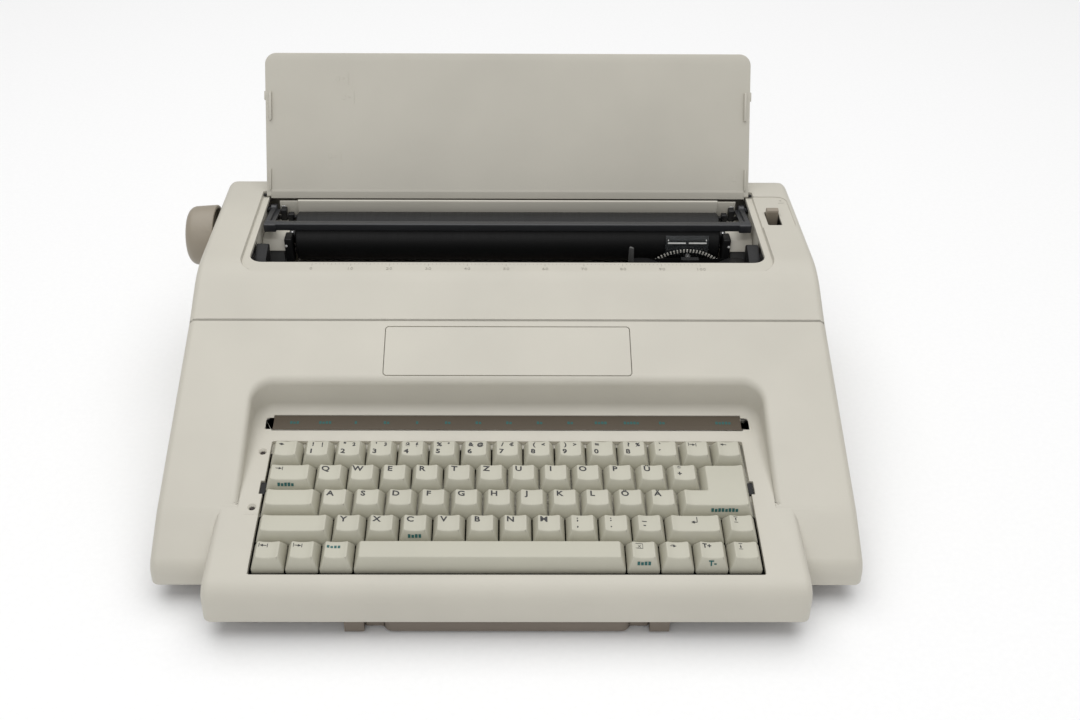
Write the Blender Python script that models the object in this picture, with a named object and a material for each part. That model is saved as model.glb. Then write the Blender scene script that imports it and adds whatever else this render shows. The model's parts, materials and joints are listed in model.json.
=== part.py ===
"""Electronic daisy-wheel typewriter, modelled as an assembly of separate named pieces.

The housing frame has X to the right, Y to the back and Z up, with X = 0 on the housing's centre line and
Z = 0 on the desk. Sizes are in millimetres and become metres as each mesh is made. Every piece hangs on one
empty, which moves the whole machine so that the centre of its bounding box stands on the world's origin.
"""

from math import acos, atan2, cos, pi, radians, sin, tan

import bmesh
import bpy
from mathutils import Vector

MM = 0.001
GAP = 0.3  # between pieces that touch

# Keyboard
KEY_PITCH = 19.05
KEY_GAP = 0.9
KEY_HEIGHT = 7.4
KEY_SKIRT = 3.0
KEY_TRAVEL = 3.5
KEY_INSET_SIDE = 2.9
KEY_INSET_BACK = 3.4
KEY_INSET_FRONT = 3.6
KEY_STEM = 5.0
KEY_STEM_DROP = 4.0
WEB_THICKNESS = 1.6
KEYBOARD_UNITS = 15
KEYBOARD_ROWS = 5
KEYBOARD_MARGIN_X = 1.1
KEYBOARD_MARGIN_Y = 2.3
KEYBOARD_SLOPE = radians(7.9)
KEYBOARD_FRONT = (-166.0, 39.4)  # front edge of the keyboard opening, on the surround's surface

# Housing
WALL = 2.8
HOUSING_BOTTOM = 14.0
HOUSING_BACK = 160.0
DECK_TOP = 117.7
SIDE_LEAN = 3.2  # how much each side leans in between the bottom and the top deck
SIDE_ROUND = 7.0
SHOULDER_FRONT = -149.7
SHOULDER_LIP = 27.0
SHOULDER_KNEE = (-120.6, 45.4)
SEAM = (-1.4, 97.9)
SEAM_GAP = 0.5
SLOPE_TOP = 33.0
FRONT_LEDGE = 12.0  # from the keyboard opening to the front edge of the housing
SURROUND_SIDE = 13.0  # between the keyboard opening and each side wall of the trough
FRONT_SIDE = 13.0  # how far the front section reaches past the trough
SHOULDER_SIDE = 35.5  # how far the shoulders reach past the front section
SURROUND_BACK = 26.3  # between the keyboard opening and the trough's back wall
TROUGH_CORNER = 12.0
TROUGH_LEAN = 1.7
LEGEND_SHORT = 11.6  # how far each end of the strip stays from the trough wall
LEGEND_WIDTH = 12.0
LEGEND_END_SLOT = 4.5
LEGEND_FROM_OPENING = 9.5
LEGEND_THICKNESS = 1.2
BADGE_HALF = 77.0
BADGE_FROM_SEAM = 4.5
BADGE_FROM_TROUGH = 3.6
BADGE_THICKNESS = 1.2
POCKET_CLEARANCE = 0.4
LED_FROM_OPENING = 4.6
LED_PLACES = {"led_power": 91.0, "led_caps": 47.7}  # up the keyboard slope from the opening's front
LED_RADIUS = 1.3
PAN_THICKNESS = 2.5
PAN_DROP = 1.5
PAN_RIM = 10.0
PAN_CLEARANCE = 1.2

# Opening over the platen and its lid
OPENING_HALF = 170.3
OPENING_FRONT = 42.1
OPENING_CORNER = 9.0
LID_LAP = 1.7  # how far the lid laps over each side of the opening
LID_LENGTH = 99.6
LID_THICKNESS = 2.3
LID_CORNER = 8.0
LID_OPEN_LEAN = radians(30.2)
LID_CLEARANCE = 2.5
HINGE_Y = 131.8
HINGE_PIN_RADIUS = 1.1
HINGE_PIN_LENGTH = 4.6

# Platen and paper path
PLATEN_Y = 109.3
PLATEN_BELOW_DECK = 4.7
PLATEN_RADIUS = 17.0
PLATEN_SHORT = 22.3  # how far each end of the roller stays inside the opening
SHAFT_RADIUS = 4.0
RUNNING_GAP = 0.35
KNOB_RADIUS = 21.6
KNOB_LENGTH = 23.5
KNOB_STAND = 22.5  # how far the knob stands out of the housing side
KNOB_FLUTES = 24
PAN_PAPER_GAP = 2.6
PAPER_PAN_THICKNESS = 1.2
BAIL_BAR_CLEAR = 4.2  # from the roller to the middle of the bar
BAIL_BAR_ANGLE = radians(131.0)
BAIL_PIVOT_BEHIND = 16.7  # behind the platen axis
BAIL_PIVOT_BELOW_DECK = 9.7
BAIL_SECTION = 5.6
BAIL_SIDE_GAP = 1.6
BAIL_ARM = 4.0
BAIL_ARM_HALF_DEPTH = 2.8
BAIL_ARM_END = 4.0
BAIL_LIFT = 50.0
FRAME_SIDE_GAP = 3.2  # between the opening and the frames beside it
FRAME_THICKNESS = 2.0
FRAME_FRONT = 46.0
GEAR_MODULE = 1.0
PINION_TEETH = 12
GEAR_WIDTH = 5.0
GEAR_BACKLASH = 0.3
LEVER_FROM_FRAME = 8.8
LEVER_WIDTH = 8.0
LEVER_THICKNESS = 5.0
LEVER_PIVOT_OFFSET = (-4.7, -10.0)  # from the platen axis
LEVER_RISE = 3.5
LEVER_SWING = 20.0
SLOT_LENGTH = 18.0

# Carriage
CARRIAGE_FROM_FRAME = 48.5
CARRIAGE_SHAFT = (66.0, 34.0)
CARRIAGE_SHAFT_RADIUS = 5.0
CARRIAGE_HALF = 27.0
CARRIAGE_DECK = 84.0
WHEEL_RADIUS = 36.0
WHEEL_CENTRE_Z = 62.0
WHEEL_FROM_ROLLER = 4.3
HAMMER_TRAVEL = 1.5
CASSETTE_HALF = 39.0

# Underside
FOOT_RADIUS = 9.0
FOOT_FRONT = (55.5, 60.0)  # in from the side and back from the front edge
FOOT_REAR = (33.5, 28.0)  # in from the side and in from the back
HANDLE_BAR_HALF = 69.5
HANDLE_HALF = 80.5
HANDLE_LUG = 11.5
HANDLE_SETBACK = 4.0
HANDLE_DEPTH = 9.0
HANDLE_BOTTOM = 1.5
HANDLE_HEIGHT = 9.0
HANDLE_LEG = 62.0

MATERIALS = {
    "housing": ((0.61, 0.59, 0.52), 0.5, 0.0),
    "key": ((0.57, 0.55, 0.46), 0.5, 0.0),
    "strip": ((0.09, 0.075, 0.06), 0.55, 0.0),
    "taupe": ((0.27, 0.23, 0.18), 0.5, 0.0),
    "handle": ((0.18, 0.15, 0.12), 0.55, 0.0),
    "platen": ((0.012, 0.011, 0.011), 0.6, 0.0),
    "rubber": ((0.02, 0.02, 0.02), 0.8, 0.0),
    "bail": ((0.045, 0.045, 0.048), 0.4, 0.0),
    "black": ((0.015, 0.015, 0.016), 0.45, 0.0),
    "steel": ((0.55, 0.55, 0.56), 0.35, 1.0),
    "nylon": ((0.7, 0.69, 0.64), 0.5, 0.0),
    "board": ((0.03, 0.16, 0.07), 0.5, 0.0),
    "lamp": ((0.1, 0.012, 0.01), 0.3, 0.0),
}


def clear_scene():
    for item in list(bpy.data.objects):
        bpy.data.objects.remove(item, do_unlink=True)


# ---------------------------------------------------------------- outlines


def rounded(corners, steps=4):
    """Turns (a, b, radius) corners into a closed outline whose corners are arcs."""
    points = []
    count = len(corners)
    for i, (a, b, radius) in enumerate(corners):
        corner = Vector((a, b))
        to_last = (Vector(corners[i - 1][:2]) - corner).normalized()
        to_next = (Vector(corners[(i + 1) % count][:2]) - corner).normalized()
        turn = acos(max(-1.0, min(1.0, to_last.dot(to_next))))
        if radius <= 0 or turn > pi - 1e-3:
            points.append((a, b))
            continue
        reach = radius / tan(turn / 2)
        centre = corner + (to_last + to_next).normalized() * (radius / sin(turn / 2))
        start = corner + to_last * reach - centre
        finish = corner + to_next * reach - centre
        first = atan2(start.y, start.x)
        sweep = (atan2(finish.y, finish.x) - first + pi) % (2 * pi) - pi
        for k in range(steps + 1):
            angle = first + sweep * k / steps
            points.append((centre.x + radius * cos(angle), centre.y + radius * sin(angle)))
    return points


def offset(corners, distance):
    """Moves every edge of a counter-clockwise corner outline inwards by distance; radii shrink with it."""
    count = len(corners)
    moved = []
    for i, (a, b, radius) in enumerate(corners):
        here = Vector((a, b))
        before = (here - Vector(corners[i - 1][:2])).normalized()
        after = (Vector(corners[(i + 1) % count][:2]) - here).normalized()
        normal_before = Vector((-before.y, before.x))
        normal_after = Vector((-after.y, after.x))
        bisector = (normal_before + normal_after).normalized()
        step = distance / max(0.2, bisector.dot(normal_after))
        spot = here + bisector * step
        moved.append((spot.x, spot.y, max(0.0, radius - distance) if radius else 0.0))
    return moved


def circle(radius, sides, centre=(0.0, 0.0)):
    return [
        (centre[0] + radius * cos(2 * pi * k / sides), centre[1] + radius * sin(2 * pi * k / sides))
        for k in range(sides)
    ]


def rectangle(a0, a1, b0, b1):
    return [(a0, b0), (a1, b0), (a1, b1), (a0, b1)]


def grown(span, distance):
    """A (low, high) pair made wider at both ends."""
    return (span[0] - distance, span[1] + distance)


def on_keyboard(along, height):
    """A point (y, z) at a distance up the keyboard slope and a height square to it."""
    c, s = cos(KEYBOARD_SLOPE), sin(KEYBOARD_SLOPE)
    return (KEYBOARD_FRONT[0] + along * c - height * s, KEYBOARD_FRONT[1] + along * s + height * c)


OPENING_LENGTH = KEYBOARD_ROWS * KEY_PITCH + 2 * KEYBOARD_MARGIN_Y
OPENING_X = KEYBOARD_UNITS * KEY_PITCH / 2 + KEYBOARD_MARGIN_X
TROUGH_HALF = OPENING_X + SURROUND_SIDE
TROUGH_BACK = on_keyboard(OPENING_LENGTH + SURROUND_BACK, 0)[0]
FRONT_HALF = TROUGH_HALF + FRONT_SIDE
FRONT_EDGE = KEYBOARD_FRONT[0] - FRONT_LEDGE
HOUSING_HALF = FRONT_HALF + SHOULDER_SIDE
LEGEND_HALF = TROUGH_HALF - LEGEND_SHORT
LEGEND_ALONG = (OPENING_LENGTH + LEGEND_FROM_OPENING, OPENING_LENGTH + LEGEND_FROM_OPENING + LEGEND_WIDTH)
LED_X = -OPENING_X - LED_FROM_OPENING
LID_HALF = OPENING_HALF + LID_LAP
PLATEN_HALF = OPENING_HALF - PLATEN_SHORT
PLATEN_AXIS = (PLATEN_Y, DECK_TOP - PLATEN_BELOW_DECK - PLATEN_RADIUS)
KNOB_OUTER = -HOUSING_HALF - KNOB_STAND
GEAR_TEETH = round(2 * PLATEN_RADIUS / GEAR_MODULE)  # the gear is as large as the roller that it turns
BAIL_BAR = (
    PLATEN_AXIS[0] + (PLATEN_RADIUS + BAIL_BAR_CLEAR) * cos(BAIL_BAR_ANGLE),
    PLATEN_AXIS[1] + (PLATEN_RADIUS + BAIL_BAR_CLEAR) * sin(BAIL_BAR_ANGLE),
)
BAIL_PIVOT = (PLATEN_Y + BAIL_PIVOT_BEHIND, DECK_TOP - BAIL_PIVOT_BELOW_DECK)
BAIL_HALF = OPENING_HALF - BAIL_SIDE_GAP
FRAME_INNER = OPENING_HALF + FRAME_SIDE_GAP
CARRIAGE_X = FRAME_INNER - CARRIAGE_FROM_FRAME
LEVER_X = FRAME_INNER + FRAME_THICKNESS + LEVER_FROM_FRAME
LEVER_PIVOT = (PLATEN_AXIS[0] + LEVER_PIVOT_OFFSET[0], PLATEN_AXIS[1] + LEVER_PIVOT_OFFSET[1])
WHEEL_Y = PLATEN_AXIS[0] - PLATEN_RADIUS - WHEEL_FROM_ROLLER
HANDLE_FRONT = FRONT_EDGE + HANDLE_SETBACK
FEET = {
    "foot_front_left": (-HOUSING_HALF + FOOT_FRONT[0], FRONT_EDGE + FOOT_FRONT[1]),
    "foot_front_right": (HOUSING_HALF - FOOT_FRONT[0], FRONT_EDGE + FOOT_FRONT[1]),
    "foot_rear_left": (-HOUSING_HALF + FOOT_REAR[0], HOUSING_BACK - FOOT_REAR[1]),
    "foot_rear_right": (HOUSING_HALF - FOOT_REAR[0], HOUSING_BACK - FOOT_REAR[1]),
}
DECK_ANGLE = atan2(SEAM[1] - SHOULDER_KNEE[1], SEAM[0] - SHOULDER_KNEE[0])


def on_deck(down, height):
    """A point (y, z) at a distance down the front deck from the seam and a height square to the deck."""
    c, s = cos(DECK_ANGLE), sin(DECK_ANGLE)
    return (SEAM[0] - down * c - height * s, SEAM[1] - down * s + height * c)


BADGE_LENGTH = (SEAM[0] - TROUGH_BACK) / cos(DECK_ANGLE) - BADGE_FROM_SEAM - BADGE_FROM_TROUGH

# ---------------------------------------------------------------- solids

AXES = {
    "x": lambda a, b, t: (t, a, b),
    "y": lambda a, b, t: (a, t, b),
    "z": lambda a, b, t: (a, b, t),
}


def make_object(name, bm, material=None, pivot=(0.0, 0.0, 0.0), smooth=0.0):
    """Closes a mesh that is in housing millimetres and hangs it on the frame with its origin at pivot."""
    bmesh.ops.recalc_face_normals(bm, faces=bm.faces)
    bmesh.ops.translate(bm, verts=bm.verts, vec=-Vector(pivot))
    bmesh.ops.scale(bm, verts=bm.verts, vec=(MM, MM, MM))
    mesh = bpy.data.meshes.new(name)
    bm.to_mesh(mesh)
    bm.free()
    if smooth:
        mesh.shade_smooth()
        mesh.set_sharp_from_angle(angle=radians(smooth))
    item = bpy.data.objects.new(name, mesh)
    item.location = Vector(pivot) * MM
    item.parent = FRAME
    bpy.context.scene.collection.objects.link(item)
    if material:
        mesh.materials.append(SHADES[material])
    return item


def prism_mesh(outline, low, high, axis):
    bm = bmesh.new()
    place = AXES[axis]
    bottom = [bm.verts.new(place(a, b, low)) for a, b in outline]
    face = bm.faces.new(bottom)
    raised = bmesh.ops.extrude_face_region(bm, geom=[face])
    moved = [g for g in raised["geom"] if isinstance(g, bmesh.types.BMVert)]
    bmesh.ops.translate(bm, verts=moved, vec=place(0.0, 0.0, high - low))
    return bm


def prism(name, outline, low, high, axis, material=None, **options):
    return make_object(name, prism_mesh(outline, low, high, axis), material, **options)


def box(name, x, y, z, material=None, **options):
    return prism(name, rectangle(x[0], x[1], y[0], y[1]), z[0], z[1], "z", material, **options)


def rod(name, centre, radius, low, high, axis, material=None, sides=24, **options):
    return prism(name, circle(radius, sides, centre), low, high, axis, material, **options)


def turned(name, profile, centre, axis, material=None, sides=32, **options):
    """Spins a profile of (radius, position along the axis) points, whose first and last radii are zero."""
    bm = bmesh.new()
    place = AXES[axis]
    rings = []
    for radius, t in profile:
        if radius == 0:
            rings.append([bm.verts.new(place(centre[0], centre[1], t))])
        else:
            rings.append([bm.verts.new(place(a, b, t)) for a, b in circle(radius, sides, centre)])
    for ring, above in zip(rings, rings[1:]):
        for k in range(sides):
            after = k + 1
            corners = [ring[k % len(ring)], ring[after % len(ring)], above[after % len(above)], above[k % len(above)]]
            bm.faces.new(list(dict.fromkeys(corners)))
    return make_object(name, bm, material, smooth=40, **options)


def guide(item):
    item.hide_render = True
    item.display_type = "WIRE"
    return item


def boolean(item, other, operation):
    modifier = item.modifiers.new(operation.lower(), "BOOLEAN")
    modifier.operation = operation
    modifier.object = guide(other)
    return item


def cut(item, *cutters):
    for cutter in cutters:
        boolean(item, cutter, "DIFFERENCE")
    return item


def fuse(item, *others):
    for other in others:
        boolean(item, other, "UNION")
    return item


# ---------------------------------------------------------------- housing

SHOULDER_CORNERS = [
    (HOUSING_BACK, HOUSING_BOTTOM, 0),
    (HOUSING_BACK, DECK_TOP, 13),
    (SLOPE_TOP, DECK_TOP, 16),
    (SEAM[0], SEAM[1], 40),
    (SHOULDER_KNEE[0], SHOULDER_KNEE[1], 60),
    (SHOULDER_FRONT, SHOULDER_LIP, 12),
    (SHOULDER_FRONT, HOUSING_BOTTOM, 0),
]
FRONT_CORNERS = [
    (TROUGH_BACK + WALL, HOUSING_BOTTOM, 0),
    (
        TROUGH_BACK + WALL,
        on_keyboard((TROUGH_BACK + WALL - KEYBOARD_FRONT[0]) / cos(KEYBOARD_SLOPE), 0)[1],
        0,
    ),
    (FRONT_EDGE, on_keyboard((FRONT_EDGE - KEYBOARD_FRONT[0]) / cos(KEYBOARD_SLOPE), 0)[1], 12),
    (FRONT_EDGE, HOUSING_BOTTOM, 0),
]


def block(name, corners, half, inset=0.0):
    """A full-width slab of the housing's side outline, its sides rounded and leaning; inset gives its inside."""
    inner = offset(corners, inset) if inset else list(corners)
    if inset:
        lowest = HOUSING_BOTTOM - 5 * WALL
        inner[0] = (inner[0][0], lowest, 0)
        inner[-1] = (inner[-1][0], lowest, 0)
    half = half - inset
    bm = prism_mesh(rounded(inner), -half, half, "x")
    floor = min(v.co.z for v in bm.verts)
    sides = [
        e
        for e in bm.edges
        if all(abs(abs(v.co.x) - half) < 1e-3 for v in e.verts)
        and e.verts[0].co.x * e.verts[1].co.x > 0
        and not all(abs(v.co.z - floor) < 1e-3 for v in e.verts)
    ]
    bmesh.ops.bevel(bm, geom=sides, offset=SIDE_ROUND - inset, segments=3, profile=0.5, affect="EDGES")
    for v in bm.verts:
        v.co.x *= 1 - SIDE_LEAN / HOUSING_HALF * (v.co.z - HOUSING_BOTTOM) / (DECK_TOP - HOUSING_BOTTOM)
    return make_object(name, bm, smooth=35)


def trough(name, grow):
    """The space over the keyboard between the two shoulders; grow widens it all round by a wall."""
    back = TROUGH_BACK + grow
    front = FRONT_EDGE - 40
    rise = tan(KEYBOARD_SLOPE)
    plan = rounded(
        [
            (-TROUGH_HALF - grow, front, 0),
            (TROUGH_HALF + grow, front, 0),
            (TROUGH_HALF + grow, back, TROUGH_CORNER + grow),
            (-TROUGH_HALF - grow, back, TROUGH_CORNER + grow),
        ]
    )
    bm = prism_mesh(plan, 0.0, 200.0, "z")
    for v in bm.verts:
        if v.co.z < 1.0:
            v.co.z = KEYBOARD_FRONT[1] + (v.co.y - KEYBOARD_FRONT[0]) * rise - grow
        elif v.co.y > back - TROUGH_CORNER:
            v.co.y -= TROUGH_LEAN
    return make_object(name, bm)


def keyboard_slab(name, x, along, height):
    """A slab parallel to the keyboard surround."""
    outline = [on_keyboard(s, h) for s, h in rectangle(along[0], along[1], height[0], height[1])]
    return prism(name, outline, x[0], x[1], "x")


def keyboard_housing():
    shell = block("keyboard_housing", SHOULDER_CORNERS, HOUSING_HALF)
    shell.data.materials.append(SHADES["housing"])
    inside = block("inside_front_shell", SHOULDER_CORNERS, HOUSING_HALF, WALL)
    cut(inside, trough("trough_wall", WALL))
    fuse(inside, block("inside_front_section", FRONT_CORNERS, FRONT_HALF, WALL))
    cut(shell, trough("trough", 0.0))
    fuse(shell, block("front_section", FRONT_CORNERS, FRONT_HALF))
    cut(shell, inside)
    clear = POCKET_CLEARANCE
    cut(
        shell,
        keyboard_slab("key_opening", (-OPENING_X, OPENING_X), (0.0, OPENING_LENGTH), (-12.0, 12.0)),
        keyboard_slab(
            "legend_pocket",
            (-LEGEND_HALF - LEGEND_END_SLOT, LEGEND_HALF + LEGEND_END_SLOT),
            (LEGEND_ALONG[0] - clear, LEGEND_ALONG[1] + clear),
            (-LEGEND_THICKNESS - GAP, 6.0),
        ),
        prism(
            "badge_pocket",
            [
                on_deck(d, h)
                for d, h in rectangle(
                    BADGE_FROM_SEAM - clear,
                    BADGE_FROM_SEAM + BADGE_LENGTH + clear,
                    -BADGE_THICKNESS - GAP,
                    6.0,
                )
            ],
            -BADGE_HALF - clear,
            BADGE_HALF + clear,
            "x",
        ),
        box("behind_seam", BEYOND_SIDES, (SEAM[0], HOUSING_BACK + 40), (-20, DECK_TOP + 40)),
    )
    for name, along in LED_PLACES.items():
        y, z = on_keyboard(along, 0)
        cut(shell, rod(name + "_hole", (LED_X, y), LED_RADIUS + 0.4, z - 8, z + 8, "z", sides=12))
    return shell


BEYOND_SIDES = (-HOUSING_HALF - 30, HOUSING_HALF + 30)


def badge_plate():
    outline = [
        on_deck(d, h)
        for d, h in rectangle(BADGE_FROM_SEAM, BADGE_FROM_SEAM + BADGE_LENGTH, -BADGE_THICKNESS, 0.0)
    ]
    prism("badge_plate", outline, -BADGE_HALF, BADGE_HALF, "x", "housing")


def legend_strip():
    outline = [on_keyboard(s, h) for s, h in rectangle(*LEGEND_ALONG, -LEGEND_THICKNESS, 0.0)]
    prism("legend_strip", outline, -LEGEND_HALF, LEGEND_HALF, "x", "strip")


def lamps():
    for name, along in LED_PLACES.items():
        y, z = on_keyboard(along, 0)
        rod(name, (LED_X, y), LED_RADIUS, z - 5.0, z - 0.8, "z", "lamp", sides=12)


RECESS_DEPTH = LID_THICKNESS + GAP
RECESS_HALF = LID_HALF + LID_CLEARANCE
HINGE = (HINGE_Y, DECK_TOP - LID_THICKNESS / 2)
RECESS_FRONT = HINGE_Y - LID_LENGTH - 1.0
RECESS_BACK = HINGE_Y + 3.2


def top_cover():
    shell = block("top_cover", SHOULDER_CORNERS, HOUSING_HALF)
    shell.data.materials.append(SHADES["housing"])
    inside = block("inside_rear_shell", SHOULDER_CORNERS, HOUSING_HALF, WALL)
    below = DECK_TOP - RECESS_DEPTH - WALL
    cut(
        inside,
        box(
            "recess_floor", (-RECESS_HALF - WALL, RECESS_HALF + WALL), (RECESS_FRONT - WALL, RECESS_BACK + WALL),
            (below, DECK_TOP + 30),
        ),
    )
    cut(shell, inside)
    recess = rounded(
        [
            (-RECESS_HALF, RECESS_FRONT, 8),
            (RECESS_HALF, RECESS_FRONT, 8),
            (RECESS_HALF, RECESS_BACK, 0),
            (-RECESS_HALF, RECESS_BACK, 0),
        ]
    )
    opening = rounded(
        [
            (-OPENING_HALF, OPENING_FRONT, OPENING_CORNER),
            (OPENING_HALF, OPENING_FRONT, OPENING_CORNER),
            (OPENING_HALF, RECESS_BACK, 0),
            (-OPENING_HALF, RECESS_BACK, 0),
        ]
    )
    lever_y = LEVER_PIVOT[0]
    slot_low = lever_y - SLOT_LENGTH + LEVER_THICKNESS / 2 + 0.8
    slot_high = lever_y + LEVER_THICKNESS / 2 + 0.8
    slot_half = LEVER_WIDTH / 2 + 0.8
    rear_wall = (HOUSING_BACK - 10, HOUSING_BACK + 10)
    cut(
        shell,
        prism("recess", recess, DECK_TOP - RECESS_DEPTH, DECK_TOP + 30, "z"),
        prism("opening", opening, DECK_TOP - 25, DECK_TOP + 25, "z"),
        box(
            "lever_slot", (LEVER_X - slot_half, LEVER_X + slot_half), (slot_low, slot_high),
            (DECK_TOP - 12, DECK_TOP + 12),
        ),
        rod("knob_hole", PLATEN_AXIS, SHAFT_RADIUS + 3.0, KNOB_OUTER, -FRAME_INNER - 12, "x"),
        rod(
            "hinge_bores", HINGE, HINGE_PIN_RADIUS + RUNNING_GAP, -RECESS_HALF - 2.4, RECESS_HALF + 2.4, "x",
            sides=12,
        ),
        box("inlet_hole", grown(INLET_X, 0.5), rear_wall, grown(INLET_Z, 0.5)),
        box("switch_hole", grown(SWITCH_X, 0.6), rear_wall, grown(SWITCH_Z, 1.0)),
        box("before_seam", BEYOND_SIDES, (FRONT_EDGE - 20, SEAM[0] + SEAM_GAP), (-20, DECK_TOP + 40)),
    )
    return shell


def base_pan():
    side = HOUSING_HALF - WALL - PAN_CLEARANCE
    back = HOUSING_BACK - WALL - PAN_CLEARANCE
    shoulder = SHOULDER_FRONT + WALL + PAN_CLEARANCE
    narrow = FRONT_HALF - WALL - PAN_CLEARANCE
    front = FRONT_EDGE + WALL + PAN_CLEARANCE
    corners = [
        (-side, shoulder, 8),
        (-narrow, shoulder, 0),
        (-narrow, front, 8),
        (narrow, front, 8),
        (narrow, shoulder, 0),
        (side, shoulder, 8),
        (side, back, 8),
        (-side, back, 8),
    ]
    low = HOUSING_BOTTOM - PAN_DROP
    pan = prism("base_pan", rounded(corners), low, low + PAN_RIM, "z", "handle")
    inside = rounded(offset(corners, PAN_THICKNESS))
    cut(pan, prism("pan_inside", inside, low + PAN_THICKNESS, low + 2 * PAN_RIM, "z"))
    for name, side in (("left", -1), ("right", 1)):
        near = side * (HANDLE_HALF + GAP)
        far = side * (HANDLE_HALF + HANDLE_LUG)
        fuse(
            pan,
            box(
                "handle_lug_" + name,
                (min(near, far), max(near, far)),
                (HANDLE_FRONT + 0.5, HANDLE_FRONT + 16),
                (HANDLE_BOTTOM, low + 1.0),
            ),
        )
    return pan


def feet():
    for name, (x, y) in FEET.items():
        top = HOUSING_BOTTOM - PAN_DROP - GAP
        profile = [(0, 0), (FOOT_RADIUS - 1, 0), (FOOT_RADIUS, 1), (FOOT_RADIUS, top), (0, top)]
        turned(name, profile, (x, y), "z", "rubber", sides=24)


def carry_handle():
    back = HANDLE_FRONT + HANDLE_DEPTH
    low, high = HANDLE_BOTTOM, HANDLE_BOTTOM + HANDLE_HEIGHT
    outline = [
        (-HANDLE_BAR_HALF, HANDLE_FRONT),
        (HANDLE_BAR_HALF, HANDLE_FRONT),
        (HANDLE_BAR_HALF, HANDLE_FRONT + 4),
        (HANDLE_HALF, HANDLE_FRONT + 4),
        (HANDLE_HALF, HANDLE_FRONT + HANDLE_LEG),
        (HANDLE_HALF - 8, HANDLE_FRONT + HANDLE_LEG),
        (HANDLE_HALF - 8, back),
        (-HANDLE_HALF + 8, back),
        (-HANDLE_HALF + 8, HANDLE_FRONT + HANDLE_LEG),
        (-HANDLE_HALF, HANDLE_FRONT + HANDLE_LEG),
        (-HANDLE_HALF, HANDLE_FRONT + 4),
        (-HANDLE_BAR_HALF, HANDLE_FRONT + 4),
    ]
    prism("carry_handle", outline, low, high, "z", "handle")


# ---------------------------------------------------------------- lid


def paper_support():
    """The lid over the platen, stored open; the plate is drawn closed and then swung up about its hinge."""
    low, high = DECK_TOP - LID_THICKNESS, DECK_TOP
    tip = HINGE_Y - LID_LENGTH
    root = HINGE_Y - 2.2
    plan = rounded(
        [(-LID_HALF, tip, LID_CORNER), (LID_HALF, tip, LID_CORNER), (LID_HALF, root, 0), (-LID_HALF, root, 0)]
    )
    pivot = (0.0, *HINGE)
    lid = prism("paper_support", plan, low, high, "z", "housing", pivot=pivot)
    for side in (-1, 1):
        near, far = side * (LID_HALF - 12), side * (LID_HALF - 1.5)
        ear = prism(
            f"hinge_ear_{side}",
            rounded(
                [(HINGE_Y - 6, low, 0), (HINGE_Y + 1.1, low, 1.0), (HINGE_Y + 1.1, high, 1.0), (HINGE_Y - 6, high, 0)],
                2,
            ),
            min(near, far),
            max(near, far),
            "x",
            pivot=pivot,
        )
        pin = rod(
            f"hinge_pin_{side}",
            HINGE,
            HINGE_PIN_RADIUS,
            min(side * (LID_HALF - 6), side * (LID_HALF + HINGE_PIN_LENGTH)),
            max(side * (LID_HALF - 6), side * (LID_HALF + HINGE_PIN_LENGTH)),
            "x",
            sides=12,
            pivot=pivot,
        )
        fuse(lid, ear, pin)
        for part in (ear, pin):
            part.rotation_euler.x = -(pi / 2 + LID_OPEN_LEAN)
    lid.rotation_euler.x = -(pi / 2 + LID_OPEN_LEAN)


# ---------------------------------------------------------------- platen and paper path


def platen():
    y, z = PLATEN_AXIS
    pivot = (0.0, y, z)
    roller = rod(
        "platen_roller", PLATEN_AXIS, PLATEN_RADIUS, -PLATEN_HALF, PLATEN_HALF, "x", "platen", sides=40, pivot=pivot
    )
    bore = SHAFT_RADIUS + GAP
    cut(roller, rod("roller_bore", PLATEN_AXIS, bore, -PLATEN_HALF - 5, PLATEN_HALF + 5, "x", pivot=pivot))
    knob_inner = KNOB_OUTER + KNOB_LENGTH
    shaft_end = FRAME_INNER + FRAME_THICKNESS + 4
    rod("platen_shaft", PLATEN_AXIS, SHAFT_RADIUS, knob_inner - 14, shaft_end, "x", "steel", pivot=pivot)
    knob = turned(
        "platen_knob",
        [
            (0, KNOB_OUTER),
            (KNOB_RADIUS - 3, KNOB_OUTER),
            (KNOB_RADIUS - 1, KNOB_OUTER + 1.2),
            (KNOB_RADIUS, KNOB_OUTER + 4),
            (KNOB_RADIUS, knob_inner - 1),
            (KNOB_RADIUS - 1, knob_inner),
            (0, knob_inner),
        ],
        PLATEN_AXIS,
        "x",
        "taupe",
        sides=2 * KNOB_FLUTES,
        pivot=pivot,
    )
    cut(knob, rod("knob_bore", PLATEN_AXIS, bore, knob_inner - 15, knob_inner + 10, "x", pivot=pivot))
    gear = toothed("platen_gear", PLATEN_AXIS, GEAR_TEETH, GEAR_LEFT, GEAR_LEFT + GEAR_WIDTH, 0.0, "nylon")
    cut(gear, rod("gear_bore", PLATEN_AXIS, bore, GEAR_LEFT - 5, GEAR_LEFT + 15, "x", pivot=pivot))


def toothed(name, centre, teeth, low, high, phase, material):
    """A spur gear on X whose teeth are trapezoids a little narrower than half a pitch."""
    pitch_radius = GEAR_MODULE * teeth / 2
    pitch = 2 * pi / teeth
    outline = []
    for k in range(teeth):
        middle = k * pitch + phase
        for share, radius in (
            (-0.3, pitch_radius - 1.15 * GEAR_MODULE),
            (-0.12, pitch_radius + 0.75 * GEAR_MODULE),
            (0.12, pitch_radius + 0.75 * GEAR_MODULE),
            (0.3, pitch_radius - 1.15 * GEAR_MODULE),
        ):
            angle = middle + share * pitch
            outline.append((centre[0] + radius * cos(angle), centre[1] + radius * sin(angle)))
    return prism(name, outline, low, high, "x", material, pivot=(0.0, *centre))


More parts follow.
